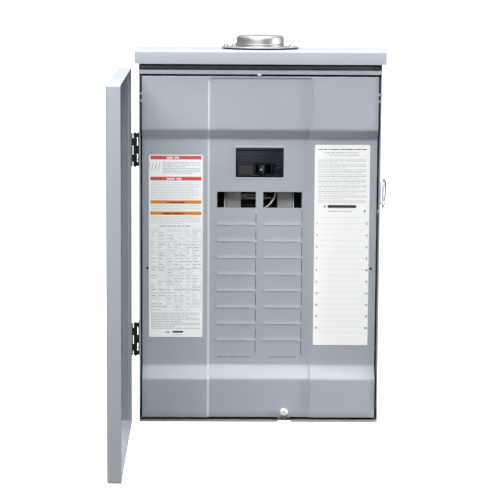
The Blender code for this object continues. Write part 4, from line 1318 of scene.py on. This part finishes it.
def build_hasp():
    keep("hasp_bracket", BRIGHT_ZINC, 0.0003)
    pivot = joint_axis("hasp_swing")
    low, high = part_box("padlock_hasp")
    radius = 0.0012
    half = (high.z - low.z) / 2 - radius
    lean = Matrix.Rotation(radians(-13), 3, "Z")
    points = []
    steps = 40
    for step in range(steps + 1):
        turn = radians(90 - 180 * step / steps)
        rise = sin(turn)
        reach = 0.0254 * max(cos(turn), 0) ** 0.8 * (1 + 0.25 * rise)
        points.append(pivot + lean @ Vector((0, reach, 0)) + UP * half * rise)
    for step in range(1, 12):
        points.append(pivot - UP * half * (1 - 2 * step / 12))
    piece("hasp_loop", tube(points, radius, 16, closed=True), DULL_WIRE, body="hasp",
          replaces=["padlock_hasp"])


# ---------------------------------------------------------------- studio

# Sky greys from straight down to straight up, then each light's place, aim, size and power
SKY_BELOW, SKY_LOW, SKY_MIDDLE, SKY_TOP = 0.05, 0.12, 0.36, 0.95
FLOOR_BELOW = 0.55
FLOOR_RADIUS = 7.0
COVE = 2.0
SOFT_BOXES = (
    ("top_box", (0.0, -0.05, 2.5), (0, -0.05, 0.1), (1.8, 1.1), 90),
    ("key_box", (-0.55, -2.20, 1.42), (0, 0, 0.0), (1.5, 0.5), 54),
    ("right_box", (2.20, -0.42, 0.35), (0, 0, 0), (0.3, 1.2), 46),
)


def build_camera():
    data = bpy.data.cameras.new("camera")
    data.lens = CAMERA_LENS
    data.sensor_width = 36
    data.clip_end = 100
    camera = placed("camera", data)
    level = cos(CAMERA_PITCH)
    forward = Vector((sin(CAMERA_YAW) * level, cos(CAMERA_YAW) * level, sin(CAMERA_PITCH)))
    right = forward.cross(UP).normalized()
    up = right.cross(forward)
    turned_right = right * cos(CAMERA_ROLL) + up * sin(CAMERA_ROLL)
    turned_up = up * cos(CAMERA_ROLL) - right * sin(CAMERA_ROLL)
    basis = Matrix((turned_right, turned_up, -forward)).transposed().to_4x4()
    camera.matrix_world = Matrix.Translation(CAMERA_PLACE) @ basis
    bpy.context.scene.camera = camera


def area_light(name, place, aim, size, power):
    data = bpy.data.lights.new(name, "AREA")
    data.shape = "RECTANGLE"
    data.size, data.size_y = size
    data.energy = power
    light = placed(name, data)
    light.location = place
    light.rotation_mode = "QUATERNION"
    light.rotation_quaternion = (Vector(aim) - Vector(place)).to_track_quat("-Z", "Y")


def build_floor():
    """A pale floor that runs up into a pale surround."""
    quarter = [radians(90 * step / 12) for step in range(1, 13)]
    profile = [(0, 0), (FLOOR_RADIUS - COVE, 0)]
    profile += [(FLOOR_RADIUS - COVE + COVE * sin(turn), COVE * (1 - cos(turn))) for turn in quarter]
    profile += [(FLOOR_RADIUS * cos(turn), COVE + 3 + (FLOOR_RADIUS - 2) * sin(turn)) for turn in quarter]
    mesh = bmesh.new()
    corners = [mesh.verts.new((r, 0, z)) for r, z in profile]
    edges = [mesh.edges.new(pair) for pair in zip(corners, corners[1:])]
    bmesh.ops.spin(mesh, geom=corners + edges, cent=(0, 0, 0), axis=(0, 0, 1), angle=2 * pi, steps=64,
                   use_duplicate=False)
    bmesh.ops.remove_doubles(mesh, verts=mesh.verts, dist=1e-5)
    data = data_of("studio_floor", mesh)
    surround = placed("studio_floor", data)
    surround.location = (0, 0, cad_bounds[0].z - FLOOR_BELOW)
    look = Shader("studio_white", (0.9, 0.9, 0.9), 0.9)
    look.tinted(look.noise(0.5, 2), 0.99, 1.0)
    look.surface.inputs["Emission Color"].default_value = (1, 1, 1, 1)
    look.surface.inputs["Emission Strength"].default_value = 1.0
    look.surface.inputs["Specular IOR Level"].default_value = 0.0
    data.materials.append(look.material)
    data.shade_smooth()
    surround.visible_diffuse = False
    surround.visible_glossy = False
    surround.visible_shadow = False


def build_sky():
    """A soft sky, darker below, and three soft boxes."""
    world = bpy.data.worlds.new("studio_sky")
    bpy.context.scene.world = world
    world.use_nodes = True
    nodes, links = world.node_tree.nodes, world.node_tree.links
    place = nodes.new("ShaderNodeTexCoord")
    split = nodes.new("ShaderNodeSeparateXYZ")
    ramp = nodes.new("ShaderNodeValToRGB")
    height = nodes.new("ShaderNodeMapRange")
    height.inputs["From Min"].default_value = -1
    height.inputs["From Max"].default_value = 1
    links.new(place.outputs["Generated"], split.inputs["Vector"])
    links.new(split.outputs["Z"], height.inputs["Value"])
    links.new(height.outputs["Result"], ramp.inputs["Fac"])
    stops = ((0.0, SKY_BELOW), (0.45, SKY_LOW), (0.62, SKY_MIDDLE), (1.0, SKY_TOP))
    ramp.color_ramp.elements[0].position = stops[0][0]
    ramp.color_ramp.elements[1].position = stops[-1][0]
    for position, _ in stops[1:-1]:
        ramp.color_ramp.elements.new(position)
    for element, (_, grey) in zip(ramp.color_ramp.elements, stops):
        element.color = (grey * 0.97, grey * 0.99, grey * 1.02, 1)
    links.new(ramp.outputs["Color"], nodes["Background"].inputs["Color"])

    for name, place, aim, size, power in SOFT_BOXES:
        area_light(name, place, aim, size, power)
    bpy.context.scene.view_settings.view_transform = "Standard"


build_camera()
build_floor()
build_sky()
build_box()
build_bottom()
build_header()
build_hood()
build_cap()
build_dead_front()
build_wiring_label()
build_directory_label()
build_breaker()
build_interior()
build_door()
build_hasp()
